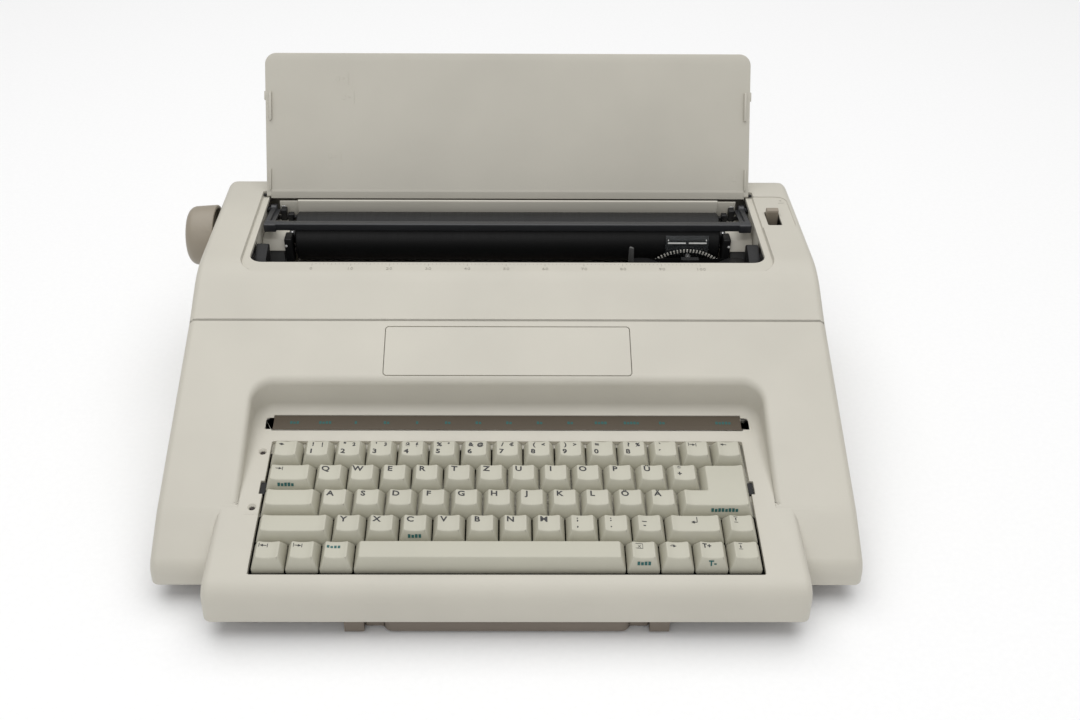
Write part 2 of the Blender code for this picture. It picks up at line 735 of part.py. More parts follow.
GEAR_LEFT = -(FRAME_INNER + FRAME_THICKNESS) - 3.5 - GEAR_WIDTH
PINION_DISTANCE = GEAR_MODULE * (GEAR_TEETH + PINION_TEETH) / 2 + GEAR_BACKLASH
PINION_AXIS = (PLATEN_AXIS[0], PLATEN_AXIS[1] - PINION_DISTANCE)
MOTOR_RADIUS = 14.0


def platen_drive():
    # the gear's tooth nearest straight down decides where the pinion's gap has to stand
    down = -pi / 2
    pitch = 2 * pi / GEAR_TEETH
    stray = (down / pitch - round(down / pitch)) * pitch
    ratio = GEAR_TEETH / PINION_TEETH
    phase = pi / 2 + pi / PINION_TEETH + stray * ratio
    toothed("motor_pinion", PINION_AXIS, PINION_TEETH, GEAR_LEFT, GEAR_LEFT + GEAR_WIDTH, phase, "nylon")
    inner = -FRAME_INNER + GAP
    motor = rod("platen_motor", PINION_AXIS, MOTOR_RADIUS, inner, -PLATEN_HALF - 4, "x", "steel")
    fuse(motor, rod("motor_shaft", PINION_AXIS, 2.0, GEAR_LEFT + GEAR_WIDTH + GAP, inner + 3, "x", sides=12))


def side_frames():
    back = PLATEN_Y + 40.7
    top = DECK_TOP - 7.7
    corners = [
        (back, HOUSING_BOTTOM + 2, 0),
        (back, top - 18, 8),
        (back - 11, top, 6),
        (PLATEN_Y - 25, top, 10),
        (FRAME_FRONT + 10, top - 18, 8),
        (FRAME_FRONT, top - 50, 6),
        (FRAME_FRONT, HOUSING_BOTTOM + 2, 0),
    ]
    for name, side in (("side_frame_left", -1), ("side_frame_right", 1)):
        low, high = sorted((side * FRAME_INNER, side * (FRAME_INNER + FRAME_THICKNESS)))
        frame = prism(name, rounded(corners), low, high, "x", "steel")
        bores = [
            ("platen", PLATEN_AXIS, SHAFT_RADIUS + RUNNING_GAP, 24),
            ("bail", BAIL_PIVOT, BAIL_PIN + RUNNING_GAP, 12),
            ("carriage", CARRIAGE_SHAFT, CARRIAGE_SHAFT_RADIUS + GAP, 24),
        ]
        if side < 0:
            bores.append(("motor", PINION_AXIS, 2.0 + GAP, 12))
        for label, centre, radius, sides in bores:
            cut(frame, rod(f"{name}_{label}", centre, radius, low - 2, high + 2, "x", sides=sides))


BAIL_PIN = 2.0


def bail():
    pivot = (0.0, *BAIL_PIVOT)
    half = BAIL_SECTION / 2
    y, z = BAIL_BAR
    bar_outline = rounded(
        [(y - half, z - half, 1), (y + half, z - half, 1), (y + half, z + half, 1), (y - half, z + half, 1)], 1
    )
    bar = prism("bail", bar_outline, -BAIL_HALF, BAIL_HALF, "x", "bail", pivot=pivot)
    run = Vector((BAIL_PIVOT[0] - y, BAIL_PIVOT[1] - z))
    across = Vector((-run.y, run.x)).normalized() * BAIL_ARM_HALF_DEPTH
    along = run.normalized() * BAIL_ARM_END
    start, end = Vector((y, z)), Vector(BAIL_PIVOT)
    arm_outline = [
        (end - across + along).to_tuple(),
        (end + across + along).to_tuple(),
        (start + across - along * 0.5).to_tuple(),
        (start - across - along * 0.5).to_tuple(),
    ]
    for name, side in (("left", -1), ("right", 1)):
        low, high = sorted((side * (BAIL_HALF - BAIL_ARM), side * (BAIL_HALF + 0.4)))
        pin_low, pin_high = sorted((side * (BAIL_HALF - 1), side * (FRAME_INNER + FRAME_THICKNESS + 1)))
        fuse(
            bar,
            prism("bail_arm_" + name, arm_outline, low, high, "x", pivot=pivot),
            rod("bail_pin_" + name, BAIL_PIVOT, BAIL_PIN, pin_low, pin_high, "x", sides=12, pivot=pivot),
        )


def paper_pan():
    y, z = PLATEN_AXIS
    inner = PLATEN_RADIUS + PAN_PAPER_GAP
    outer = inner + PAPER_PAN_THICKNESS
    steps = 12
    start, end = radians(-125), 0.0
    angles = [start + (end - start) * k / steps for k in range(steps + 1)]
    lip = DECK_TOP - RECESS_DEPTH - WALL - 1.0
    outline = [(y + outer * cos(a), z + outer * sin(a)) for a in angles]
    outline += [(y + outer, lip), (y + inner, lip)]
    outline += [(y + inner * cos(a), z + inner * sin(a)) for a in reversed(angles)]
    pan = prism("paper_pan", outline, -PLATEN_HALF - 2, PLATEN_HALF + 2, "x", "housing")
    wide = BAIL_HALF - BAIL_ARM - 1.5
    fuse(pan, box("pan_upper", (-wide, wide), (y + inner, y + outer), (z + 4, lip)))


def release_lever():
    y, z = LEVER_PIVOT
    top = DECK_TOP + LEVER_RISE
    half = LEVER_THICKNESS / 2
    outline = rounded(
        [(y - half, z - 8, 2), (y + half, z - 8, 2), (y + half, top, 1.5), (y - half, top, 1.5)], 2
    )
    lever = prism(
        "release_lever",
        outline,
        LEVER_X - LEVER_WIDTH / 2,
        LEVER_X + LEVER_WIDTH / 2,
        "x",
        "taupe",
        pivot=(0.0, y, z),
    )
    pin = (FRAME_INNER + FRAME_THICKNESS + GAP, LEVER_X)
    fuse(lever, rod("lever_pin", LEVER_PIVOT, 2.0, pin[0], pin[1], "x", sides=12, pivot=(0.0, y, z)))


# ---------------------------------------------------------------- carriage


def rails():
    end = FRAME_INNER + FRAME_THICKNESS + 1
    rod("carriage_shaft", CARRIAGE_SHAFT, CARRIAGE_SHAFT_RADIUS, -end, end, "x", "steel")
    half = FRAME_INNER - GAP
    box("guide_rail", (-half, half), (50, 56), (CARRIAGE_DECK - 3.5, CARRIAGE_DECK - 0.5), "steel")


def carriage():
    x, half = CARRIAGE_X, CARRIAGE_HALF
    y, z = CARRIAGE_SHAFT
    pivot = (x, y, z)
    body = box("carriage", (x - half, x + half), (y - 10, y + 10), (z - 8, z + 9), "black", pivot=pivot)
    plate = (y + 6.0, y + 10.0)
    fuse(
        body,
        box("carriage_upright", (x - 21, x + 21), plate, (z + 5, CARRIAGE_DECK + 1), pivot=pivot),
        box(
            "carriage_deck", (x - CASSETTE_HALF, x + CASSETTE_HALF), (48, plate[1]),
            (CARRIAGE_DECK, CARRIAGE_DECK + 3), pivot=pivot,
        ),
        box("hammer_post", (x - 6, x + 6), plate, (CARRIAGE_DECK, HAMMER_Z + 5), pivot=pivot),
        rod("wheel_motor", (x, WHEEL_CENTRE_Z), 17.0, y - 7.0, WHEEL_Y - 4.0, "y", pivot=pivot),
    )
    cut(
        body,
        rod(
            "carriage_bore", CARRIAGE_SHAFT, CARRIAGE_SHAFT_RADIUS + RUNNING_GAP, x - half - 5, x + half + 5, "x",
            pivot=pivot,
        ),
        rod(
            "hammer_bore", (x, HAMMER_Z), HAMMER_RADIUS + RUNNING_GAP, plate[0] - 3, plate[1] + 3, "y", sides=12,
            pivot=pivot,
        ),
    )


HAMMER_Z = 94.0
HAMMER_RADIUS = 2.0


def print_hammer():
    x = CARRIAGE_X
    tip = WHEEL_Y - HAMMER_TRAVEL - 0.5
    pivot = (x, WHEEL_Y, HAMMER_Z)
    shaft_y = CARRIAGE_SHAFT[0]
    centre = (x, HAMMER_Z)
    hammer = rod("print_hammer", centre, HAMMER_RADIUS, shaft_y - 1, tip, "y", "steel", sides=12, pivot=pivot)
    fuse(hammer, rod("hammer_head", centre, 3.4, shaft_y - 3, shaft_y + 2, "y", sides=12, pivot=pivot))


def daisy_wheel():
    profile = [
        (0, WHEEL_Y - 3.4),
        (7, WHEEL_Y - 3.4),
        (7, WHEEL_Y),
        (WHEEL_RADIUS, WHEEL_Y),
        (WHEEL_RADIUS, WHEEL_Y + 0.8),
        (0, WHEEL_Y + 0.8),
    ]
    centre = (CARRIAGE_X, WHEEL_CENTRE_Z)
    pivot = (CARRIAGE_X, WHEEL_Y, WHEEL_CENTRE_Z)
    turned("daisy_wheel", profile, centre, "y", "black", sides=48, pivot=pivot)


def ribbon_cassette():
    x = CARRIAGE_X
    low = CARRIAGE_DECK + 3 + GAP
    outline = [
        (x - CASSETTE_HALF, 50),
        (x + CASSETTE_HALF, 50),
        (x + CASSETTE_HALF, 84),
        (x + 28, 84),
        (x + 20, 78),
        (x + 9, 62),
        (x - 9, 62),
        (x - 20, 78),
        (x - 28, 84),
        (x - CASSETTE_HALF, 84),
    ]
    prism("ribbon_cassette", outline, low, low + 12, "z", "black")


# ---------------------------------------------------------------- electrics

INLET_X = (150.0, 172.0)
INLET_Z = (32.0, 46.0)
SWITCH_X = (118.0, 132.0)
SWITCH_Z = (32.0, 46.0)
TRANSFORMER_LENGTH = 56.0
TRANSFORMER_FROM_FRAME = 17.5
TRANSFORMER_YOKE = 10.0  # how much of each end of the core stands outside the coil


def electrics():
    floor = HOUSING_BOTTOM - PAN_DROP + PAN_THICKNESS
    motor_x, motor_y = -FRAME_INNER + 23.5, 26.0
    board = box("main_board", (motor_x + 20, 70), (-34, 34), (floor + 6, floor + 7.6), "board")
    fuse(
        board,
        box("board_chip", (-80, -28), (-8, 8), (floor + 7, floor + 12)),
        box("board_heatsink", (10, 50), (12, 24), (floor + 7, floor + 20)),
    )
    right = FRAME_INNER - TRANSFORMER_FROM_FRAME
    left = right - TRANSFORMER_LENGTH
    coil = (left + TRANSFORMER_YOKE, right - TRANSFORMER_YOKE)
    core = box("transformer", (left, right), (112, 146), (floor + 1, floor + 42), "steel")
    fuse(core, box("transformer_coil", coil, (104, 152), (floor + 6, floor + 37)))
    inlet_y = (HOUSING_BACK - 9, HOUSING_BACK - 0.2)
    inlet = box("power_inlet", INLET_X, inlet_y, INLET_Z, "black")
    middle = (INLET_Z[0] + INLET_Z[1]) / 2
    cut(
        inlet,
        box(
            "inlet_socket", grown(INLET_X, -4.0), (HOUSING_BACK - 7, HOUSING_BACK + 5), (middle - 3.5, middle + 3.5)
        ),
    )
    switch_z = (SWITCH_Z[0] + SWITCH_Z[1]) / 2
    pivot = (0.0, HOUSING_BACK - 5, switch_z)
    box("power_switch", SWITCH_X, (HOUSING_BACK - 6, HOUSING_BACK + 1.0), SWITCH_Z, "black", pivot=pivot)
    motor = rod("carriage_motor", (motor_x, motor_y), 14.0, floor + GAP, floor + 22, "z", "steel", sides=28)
    fuse(motor, rod("motor_pulley", (motor_x, motor_y), 5.0, floor + 20, BELT_Z[1] + 1.5, "z", sides=20))
    run = FRAME_INNER - 13.5
    ring = 5.0 + GAP
    outer = belt_outline(motor_x, run, motor_y, ring + 1.2)
    belt = prism("drive_belt", outer, *BELT_Z, "z", "rubber")
    inside = belt_outline(motor_x, run, motor_y, ring)
    cut(belt, prism("belt_inside", inside, BELT_Z[0] - 2, BELT_Z[1] + 2, "z"))


BELT_Z = (38.5, 42.5)


def belt_outline(left, right, y, radius):
    steps = 10
    turns = [pi * k / steps for k in range(steps + 1)]
    points = [(left + radius * cos(pi / 2 + a), y + radius * sin(pi / 2 + a)) for a in turns]
    points += [(right + radius * cos(a - pi / 2), y + radius * sin(a - pi / 2)) for a in turns]
    return points


# ---------------------------------------------------------------- keyboard

HOME_ROW = ["a", "s", "d", "f", "g", "h", "j", "k", "l", "oe", "ae"]
# Each row runs from left to right: (node, first unit, widths). A node with one width is a key of its own;
# one with more is a bank of keys that share a web.
ROWS = {
    1: [("number_bank", 0.0, [1] * 15)],
    2: [("key_tab", 0.0, [1.5]), ("upper_bank", 1.5, [1] * 12)],
    3: [("key_caps_lock", 0.0, [1.75])]
    + [(f"key_{c}", 1.75 + i, [1]) for i, c in enumerate(HOME_ROW)],
    4: [
        ("key_shift_left", 0.0, [2.25]),
        ("lower_bank", 2.25, [1] * 10),
        ("key_shift_right", 12.25, [1.75]),
        ("key_line_up", 14.0, [1]),
    ],
    5: [("bottom_left_bank", 0.0, [1] * 3), ("key_space", 3.0, [8]), ("bottom_right_bank", 11.0, [1] * 4)],
}
RETURN_UPPER = (13.5, 15.0)
RETURN_LOWER = (12.75, 15.0)


def row_along(row):
    return KEYBOARD_MARGIN_Y + (KEYBOARD_ROWS - row + 0.5) * KEY_PITCH


def unit_x(unit):
    return (unit - KEYBOARD_UNITS / 2) * KEY_PITCH


def cap(name, row, first, width, material=None, stem=True, pivot=None):
    """One key cap: a skirt, sloping sides and a flat top, with a square stem below."""
    side = KEY_GAP / 2
    low, high = unit_x(first) + side, unit_x(first + width) - side
    near, far = row_along(row) - KEY_PITCH / 2 + side, row_along(row) + KEY_PITCH / 2 - side
    rings = [
        (-KEY_SKIRT, 0.0, 0.0, 0.0),
        (0.0, 0.0, 0.0, 0.0),
        (KEY_HEIGHT, KEY_INSET_SIDE, KEY_INSET_FRONT, KEY_INSET_BACK),
    ]
    bm = bmesh.new()
    loops = []
    for height, inset_side, inset_front, inset_back in rings:
        corners = rectangle(low + inset_side, high - inset_side, near + inset_front, far - inset_back)
        loops.append([bm.verts.new((x, *on_keyboard(s, height))) for x, s in corners])
    for ring, above in zip(loops, loops[1:]):
        for k in range(4):
            bm.faces.new((ring[k], ring[(k + 1) % 4], above[(k + 1) % 4], above[k]))
    bm.faces.new(loops[-1])
    floor = bm.faces.new(loops[0])
    if stem:
        add_stem(bm, floor, (low + high) / 2, row_along(row))
    return make_object(name, bm, material, pivot=pivot or (0.0, 0.0, 0.0))


def add_stem(bm, floor, x, along):
    """Draws the stem's foot into a cap's floor and pulls it down."""
    half = KEY_STEM / 2
    bmesh.ops.inset_individual(bm, faces=[floor], thickness=1.0)
    corners = rectangle(x - half, x + half, along - half, along + half)
    for vert, (a, s) in zip(ordered(floor, x, along), corners):
        vert.co = (a, *on_keyboard(s, -KEY_SKIRT))
    pulled = bmesh.ops.extrude_face_region(bm, geom=[floor])
    bmesh.ops.delete(bm, geom=[floor], context="FACES")
    moved = [g for g in pulled["geom"] if isinstance(g, bmesh.types.BMVert)]
    step = Vector((0.0, *on_keyboard(0, -KEY_STEM_DROP))) - Vector((0.0, *on_keyboard(0, 0)))
    bmesh.ops.translate(bm, verts=moved, vec=step)


def ordered(face, x, along):
    """A face's corners in the order of rectangle(): front left, front right, back right, back left."""
    middle = on_keyboard(along, -KEY_SKIRT)[0]
    signs = {(-1, -1): 0, (1, -1): 1, (1, 1): 2, (-1, 1): 3}
    found = [None] * 4
    for v in face.verts:
        found[signs[(1 if v.co.x > x else -1, 1 if v.co.y > middle else -1)]] = v
    return found


def key_pivot(row, first, width):
    return (unit_x(first + width / 2), *on_keyboard(row_along(row), 0))


def bank(name, row, first, widths):
    """A run of caps on one thin web, which stands for their shared carrier."""
    total = sum(widths)
    pivot = key_pivot(row, first, total)
    near, far = row_along(row) - 4, row_along(row) + 4
    web = (unit_x(first) + 3, unit_x(first + total) - 3)
    outline = [
        on_keyboard(s, h)
        for s, h in rectangle(near, far, -KEY_SKIRT - WEB_THICKNESS, -KEY_SKIRT + 0.8)
    ]
    whole = prism(name, outline, web[0], web[1], "x", "key", pivot=pivot)
    start = first
    for i, width in enumerate(widths):
        fuse(whole, cap(f"{name}_cap_{i}", row, start, width, stem=False, pivot=pivot))
        start += width


def return_key():
    """The tall key at the right end of the two middle rows, in the shape of a turned L."""
    side = KEY_GAP / 2
    right = unit_x(RETURN_UPPER[1]) - side
    upper_left, lower_left = unit_x(RETURN_UPPER[0]) + side, unit_x(RETURN_LOWER[0]) + side
    near = row_along(3) - KEY_PITCH / 2 + side
    step = row_along(3) + KEY_PITCH / 2 - side
    far = row_along(2) + KEY_PITCH / 2 - side
    rings = [
        (-KEY_SKIRT, 0.0, 0.0, 0.0),
        (0.0, 0.0, 0.0, 0.0),
        (KEY_HEIGHT, KEY_INSET_SIDE, KEY_INSET_FRONT, KEY_INSET_BACK),
    ]
    bm = bmesh.new()
    loops = []
    for height, s_in, f_in, b_in in rings:
        corners = [
            (lower_left + s_in, near + f_in),
            (right - s_in, near + f_in),
            (right - s_in, far - b_in),
            (upper_left + s_in, far - b_in),
            (upper_left + s_in, step - b_in),
            (lower_left + s_in, step - b_in),
        ]
        loops.append([bm.verts.new((x, *on_keyboard(s, height))) for x, s in corners])
    for ring, above in zip(loops, loops[1:]):
        for k in range(6):
            bm.faces.new((ring[k], ring[(k + 1) % 6], above[(k + 1) % 6], above[k]))
    bm.faces.new(loops[-1])
    bm.faces.new(loops[0])
    pivot = key_pivot(3, RETURN_LOWER[0], RETURN_LOWER[1] - RETURN_LOWER[0])
    make_object("key_return", bm, "key", pivot=pivot)


def keyboard():
    for row, groups in ROWS.items():
        for name, first, widths in groups:
            if len(widths) == 1:
                cap(name, row, first, widths[0], "key", pivot=key_pivot(row, first, widths[0]))
            else:
                bank(name, row, first, widths)
    return_key()
    top = -KEY_SKIRT - KEY_STEM_DROP - KEY_TRAVEL - 0.6
    outline = [on_keyboard(s, h) for s, h in rectangle(-2.0, OPENING_LENGTH + 2.0, top - 2.0, top)]
    prism("key_plate", outline, -OPENING_X - 3, OPENING_X + 3, "x", "steel")


# ---------------------------------------------------------------- assembly


def make_materials():
    made = {}
    for name, (colour, roughness, metallic) in MATERIALS.items():
        shade = bpy.data.materials.new(name)
        shade.use_nodes = True
        surface = shade.node_tree.nodes["Principled BSDF"]
        surface.inputs["Base Color"].default_value = (*colour, 1.0)
        surface.inputs["Roughness"].default_value = roughness
        surface.inputs["Metallic"].default_value = metallic
        made[name] = shade
    return made


def frame_location():
    """Where the housing's origin stands, so that the bounding box is centred on the world's origin."""
    back = HINGE[0] + LID_LENGTH * sin(LID_OPEN_LEAN) + LID_THICKNESS / 2 * cos(LID_OPEN_LEAN)
    left, right = KNOB_OUTER, HOUSING_HALF
    return Vector((-(left + right) / 2, -(FRONT_EDGE + back) / 2, 0.0)) * MM


clear_scene()
SHADES = make_materials()
FRAME = bpy.data.objects.new("typewriter_frame", None)
FRAME.location = frame_location()
bpy.context.scene.collection.objects.link(FRAME)

keyboard_housing()
badge_plate()
legend_strip()
lamps()
top_cover()
base_pan()
feet()
carry_handle()
paper_support()
platen()
platen_drive()
side_frames()
bail()
paper_pan()
release_lever()
rails()
carriage()
print_hammer()
daisy_wheel()
ribbon_cassette()
electrics()
keyboard()
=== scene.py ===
# %% [markdown]
# # An electronic daisy-wheel typewriter
#
# The model of how the machine is built already exists: housings, lid, platen, keys and carriage, each a
# plain solid in its true place. This script loads that model as a fixed frame and makes the surfaces a
# person sees. Each step first says what the piece is on a real machine, then how it could be made, then why
# one way was chosen.

# %% Load the frame
import json
from math import acos, atan2, cos, pi, radians, sin, tan

import bmesh
import bpy
from mathutils import Matrix, Vector


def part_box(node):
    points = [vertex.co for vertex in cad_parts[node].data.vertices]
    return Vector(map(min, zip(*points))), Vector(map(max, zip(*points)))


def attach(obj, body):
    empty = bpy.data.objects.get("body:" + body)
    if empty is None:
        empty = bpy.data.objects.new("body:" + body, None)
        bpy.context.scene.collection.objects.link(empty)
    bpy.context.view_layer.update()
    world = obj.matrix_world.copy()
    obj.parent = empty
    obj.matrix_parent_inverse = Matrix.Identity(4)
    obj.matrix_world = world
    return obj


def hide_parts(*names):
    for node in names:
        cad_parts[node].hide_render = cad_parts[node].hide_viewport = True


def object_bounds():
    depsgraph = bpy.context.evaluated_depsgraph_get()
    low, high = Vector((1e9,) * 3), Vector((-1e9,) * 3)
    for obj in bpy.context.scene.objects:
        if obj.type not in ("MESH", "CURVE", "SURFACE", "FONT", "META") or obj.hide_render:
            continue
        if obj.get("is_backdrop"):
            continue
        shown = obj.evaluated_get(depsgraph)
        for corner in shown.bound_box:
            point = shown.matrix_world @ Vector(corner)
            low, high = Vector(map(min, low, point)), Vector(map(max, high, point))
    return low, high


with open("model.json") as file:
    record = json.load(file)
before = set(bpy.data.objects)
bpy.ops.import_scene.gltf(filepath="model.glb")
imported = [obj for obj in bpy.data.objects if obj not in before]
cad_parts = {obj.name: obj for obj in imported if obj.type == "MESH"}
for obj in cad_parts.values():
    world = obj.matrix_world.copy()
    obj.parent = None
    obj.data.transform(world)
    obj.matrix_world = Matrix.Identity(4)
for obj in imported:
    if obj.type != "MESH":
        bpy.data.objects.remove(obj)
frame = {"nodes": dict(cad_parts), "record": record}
cad_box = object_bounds()

# %% [markdown]
# ## A workshop frame in millimetres
#
# A designer of such a machine works in millimetres from the middle of the housing, with the desk as zero
# height. The frame is in metres from another origin. All pieces below are drawn in workshop millimetres,
# and one function turns a finished mesh into metres, so that no other line has to think about units.

# %% The workshop origin, from the boxes of the frame's own nodes
MM = 0.001
FRONT_EDGE = -178.0  # workshop place of the housing's front edge
housing_low, housing_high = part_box("keyboard_housing")
HOME = Vector(((housing_low.x + housing_high.x) / 2, housing_low.y - FRONT_EDGE * MM, 0.0))


def workshop_box(node):
    """A node's lowest and highest corners in workshop millimetres."""
    low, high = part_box(node)
    return (low - HOME) / MM, (high - HOME) / MM


print("workshop origin at", [round(v, 4) for v in HOME])

# %% Read the sizes that the pieces share
cover_high = workshop_box("top_cover")[1]
low, high = workshop_box("keyboard_housing")
HOUSING_HALF = (high.x - low.x) / 2
HOUSING_BOTTOM = low.z
HOUSING_BACK = cover_high.y
DECK_TOP = cover_high.z
SEAM_Y = high.y
roller_low, roller_high = workshop_box("platen_roller")
PLATEN = Vector((0.0, (roller_low.y + roller_high.y) / 2, (roller_low.z + roller_high.z) / 2))
PLATEN_RADIUS = (roller_high.y - roller_low.y) / 2
PLATEN_HALF = roller_high.x
print("housing half width", round(HOUSING_HALF, 2), "deck", round(DECK_TOP, 2), "platen", tuple(PLATEN))

# %% [markdown]
# ## Camera and light
#
# The machine stands on a white sweep and is seen from in front and above, under large soft lamps. The
# camera comes first. A long sheet bent up behind the machine would do for a backdrop, but a pale floor and
# a pale sky give the same even white and throw no edge into any side view.

# %% The camera
CAMERA_FROM_HOME = Vector((0.456, -646.733, 531.85))
CAMERA_DOWN = 35.504
camera_data = bpy.data.cameras.new("camera")
camera_data.lens = 40.7475
camera_data.sensor_width = 36.0
camera_data.shift_x = 0.02197
camera_data.shift_y = -0.00484
camera = bpy.data.objects.new("camera", camera_data)
camera.location = HOME + CAMERA_FROM_HOME * MM
camera.rotation_euler = (radians(90.0 - CAMERA_DOWN), radians(-0.3045), radians(-0.2435))
bpy.context.scene.collection.objects.link(camera)
bpy.context.scene.camera = camera
print("camera looks down", CAMERA_DOWN, "degrees from", [round(v, 3) for v in camera.location])

# %% Soft lamps and a pale sky
world = bpy.data.worlds.new("studio")
world.use_nodes = True
world.node_tree.nodes["Background"].inputs["Color"].default_value = (1.0, 1.0, 1.0, 1.0)
world.node_tree.nodes["Background"].inputs["Strength"].default_value = 0.44
bpy.context.scene.world = world
bpy.context.scene.view_settings.view_transform = "Standard"


def soft_lamp(name, place, aim, size, power):
    """A square lamp at place that faces aim, all in metres."""
    data = bpy.data.lights.new(name, "AREA")
    data.shape = "SQUARE"
    data.size = size
    data.energy = power
    lamp = bpy.data.objects.new(name, data)
    lamp.location = place
    lamp.rotation_euler = (Vector(aim) - Vector(place)).to_track_quat("-Z", "Y").to_euler()
    bpy.context.scene.collection.objects.link(lamp)
    return lamp


soft_lamp("ceiling_lamp", (0.0, 0.25, 2.2), (0.0, 0.1, 0.0), 3.0, 46.0)
soft_lamp("front_lamp", (-0.3, -1.6, 1.1), (0.0, 0.0, 0.05), 1.2, 5.0)
print("two lamps and a sky")

# %% [markdown]
# ## Meshes by hand
#
# Almost every moulding here starts as a flat outline that is pulled out into a slab, then rounded, then
# cut. The outline could be computed point by point, but a few corners and the bevel operator give true arcs
# with less to get wrong. Cuts use the Boolean modifier, which is applied at once, so a finished piece is a
# plain closed mesh.

# %% Outline, fillet and slab
AXIS_PLACES = {
    "x": lambda a, b, t: (t, a, b),
    "y": lambda a, b, t: (a, t, b),
    "z": lambda a, b, t: (a, b, t),
}


def fillet_reach(corner, before, after, radius):
    """How far along its two edges an arc of this radius starts from a corner."""
    one, two = (before - corner).normalized(), (after - corner).normalized()
    return radius / tan(acos(max(-1.0, min(1.0, one.dot(two)))) / 2)


def outline_face(corners, level, axis, segments=6):
    """A flat face through (a, b, radius) corners; every corner with a radius becomes an arc."""
    bm = bmesh.new()
    place = AXIS_PLACES[axis]
    verts = [bm.verts.new(place(a, b, level)) for a, b, _ in corners]
    bm.faces.new(verts)
    points = [v.co.copy() for v in verts]
    for i, (a, b, radius) in enumerate(corners):
        if radius > 0:
            reach = fillet_reach(points[i], points[i - 1], points[(i + 1) % len(points)], radius)
            bmesh.ops.bevel(
                bm, geom=[verts[i]], offset=reach, segments=segments, profile=0.5, affect="VERTICES",
                material=-1, clamp_overlap=False,
            )
    return bm


def round_edges(bm, edges, radius, segments):
    """Rounds the given edges."""
    bmesh.ops.bevel(
        bm, geom=edges, offset=radius, segments=segments, profile=0.5, affect="EDGES", material=-1,
        clamp_overlap=False,
    )


def pull(bm, made, distance):
    """Moves the points that an extrusion has made."""
    moved = [g for g in made["geom"] if isinstance(g, bmesh.types.BMVert)]
    bmesh.ops.translate(bm, verts=moved, vec=distance)


def slice_at(bm, place, normal):
    """Cuts new edges across a mesh where a plane meets it."""
    whole = bm.verts[:] + bm.edges[:] + bm.faces[:]
    bmesh.ops.bisect_plane(bm, geom=whole, dist=1e-5, plane_co=place, plane_no=normal)


def tilted(bm, place, angle):
    """Turns a mesh about X by an angle, then moves the origin to place."""
    bm.transform(Matrix.Translation(place) @ Matrix.Rotation(angle, 4, "X"))
    return bm


def slab(corners, low, high, axis, segments=6):
    """The outline pulled from low to high along an axis."""
    bm = outline_face(corners, low, axis, segments)
    pull(bm, bmesh.ops.extrude_face_region(bm, geom=bm.faces[:]), AXIS_PLACES[axis](0.0, 0.0, high - low))
    bmesh.ops.recalc_face_normals(bm, faces=bm.faces)
    return bm


def soften(bm, radius, segments=3, keep=lambda edge: True, angle=30.0):
    """Rounds the edges that turn by more than an angle in degrees and pass the keep test."""
    sharp = [
        e for e in bm.edges
        if len(e.link_faces) == 2 and e.calc_face_angle(0.0) > radians(angle) and keep(e)
    ]
    round_edges(bm, sharp, radius, segments)
    return bm


def plate_of(a, b, low, high, axis="z", radius=0.0, segments=4):
    """A slab over a rectangle, its four corners rounded alike."""
    corners = [(a[0], b[0], radius), (a[1], b[0], radius), (a[1], b[1], radius), (a[0], b[1], radius)]
    return slab(corners, low, high, axis, segments)


def brick(x, y, z, radius=0.5, segments=2):
    """A rounded block from low and high values on each axis."""
    bm = bmesh.new()
    bmesh.ops.create_cube(bm, size=1.0)
    bmesh.ops.scale(bm, verts=bm.verts, vec=(x[1] - x[0], y[1] - y[0], z[1] - z[0]))
    bmesh.ops.translate(bm, verts=bm.verts, vec=((x[0] + x[1]) / 2, (y[0] + y[1]) / 2, (z[0] + z[1]) / 2))
    return soften(bm, radius, segments) if radius else bm


def span(side, near, far):
    """A (low, high) pair on the left, side -1, or on the right, side 1."""
    return tuple(sorted((side * near, side * far)))


print("outline, slab and soften are ready")

# %% Turned shapes, rods and cuts
def turned(profile, centre, axis="x", steps=48):
    """Spins (radius, position) points round an axis through centre; the ends on the axis close the shape."""
    bm = bmesh.new()
    place = AXIS_PLACES[axis]
    a0, b0 = centre
    chain = [bm.verts.new(place(a0 + r, b0, t)) for r, t in profile]
    edges = [bm.edges.new(pair) for pair in zip(chain, chain[1:])]
    direction = Vector(place(0.0, 0.0, 1.0))
    bmesh.ops.spin(
        bm, geom=chain + edges, cent=place(a0, b0, 0.0), axis=direction, dvec=(0, 0, 0), angle=2 * pi,
        steps=steps, use_merge=True,
    )
    bmesh.ops.remove_doubles(bm, verts=bm.verts, dist=1e-4)
    bmesh.ops.recalc_face_normals(bm, faces=bm.faces)
    return bm


def rod(centre, radius, low, high, axis="x", steps=32, chamfer=0.0):
    """A round bar, with its ends eased when a chamfer is given."""
    ease = min(chamfer, radius / 2)
    profile = [(0.0, low), (radius - ease, low)]
    profile += [(radius, low + ease), (radius, high - ease)] if ease else [(radius, high)]
    profile += [(radius - ease, high), (0.0, high)] if ease else [(0.0, high)]
    return turned(profile, centre, axis, steps)


def join(*parts):
    """Several meshes as one, for closed parts that only touch."""
    whole = bmesh.new()
    for bm in parts:
        mesh = bpy.data.meshes.new("part")
        bm.to_mesh(mesh)
        bm.free()
        whole.from_mesh(mesh)
        bpy.data.meshes.remove(mesh)
    return whole


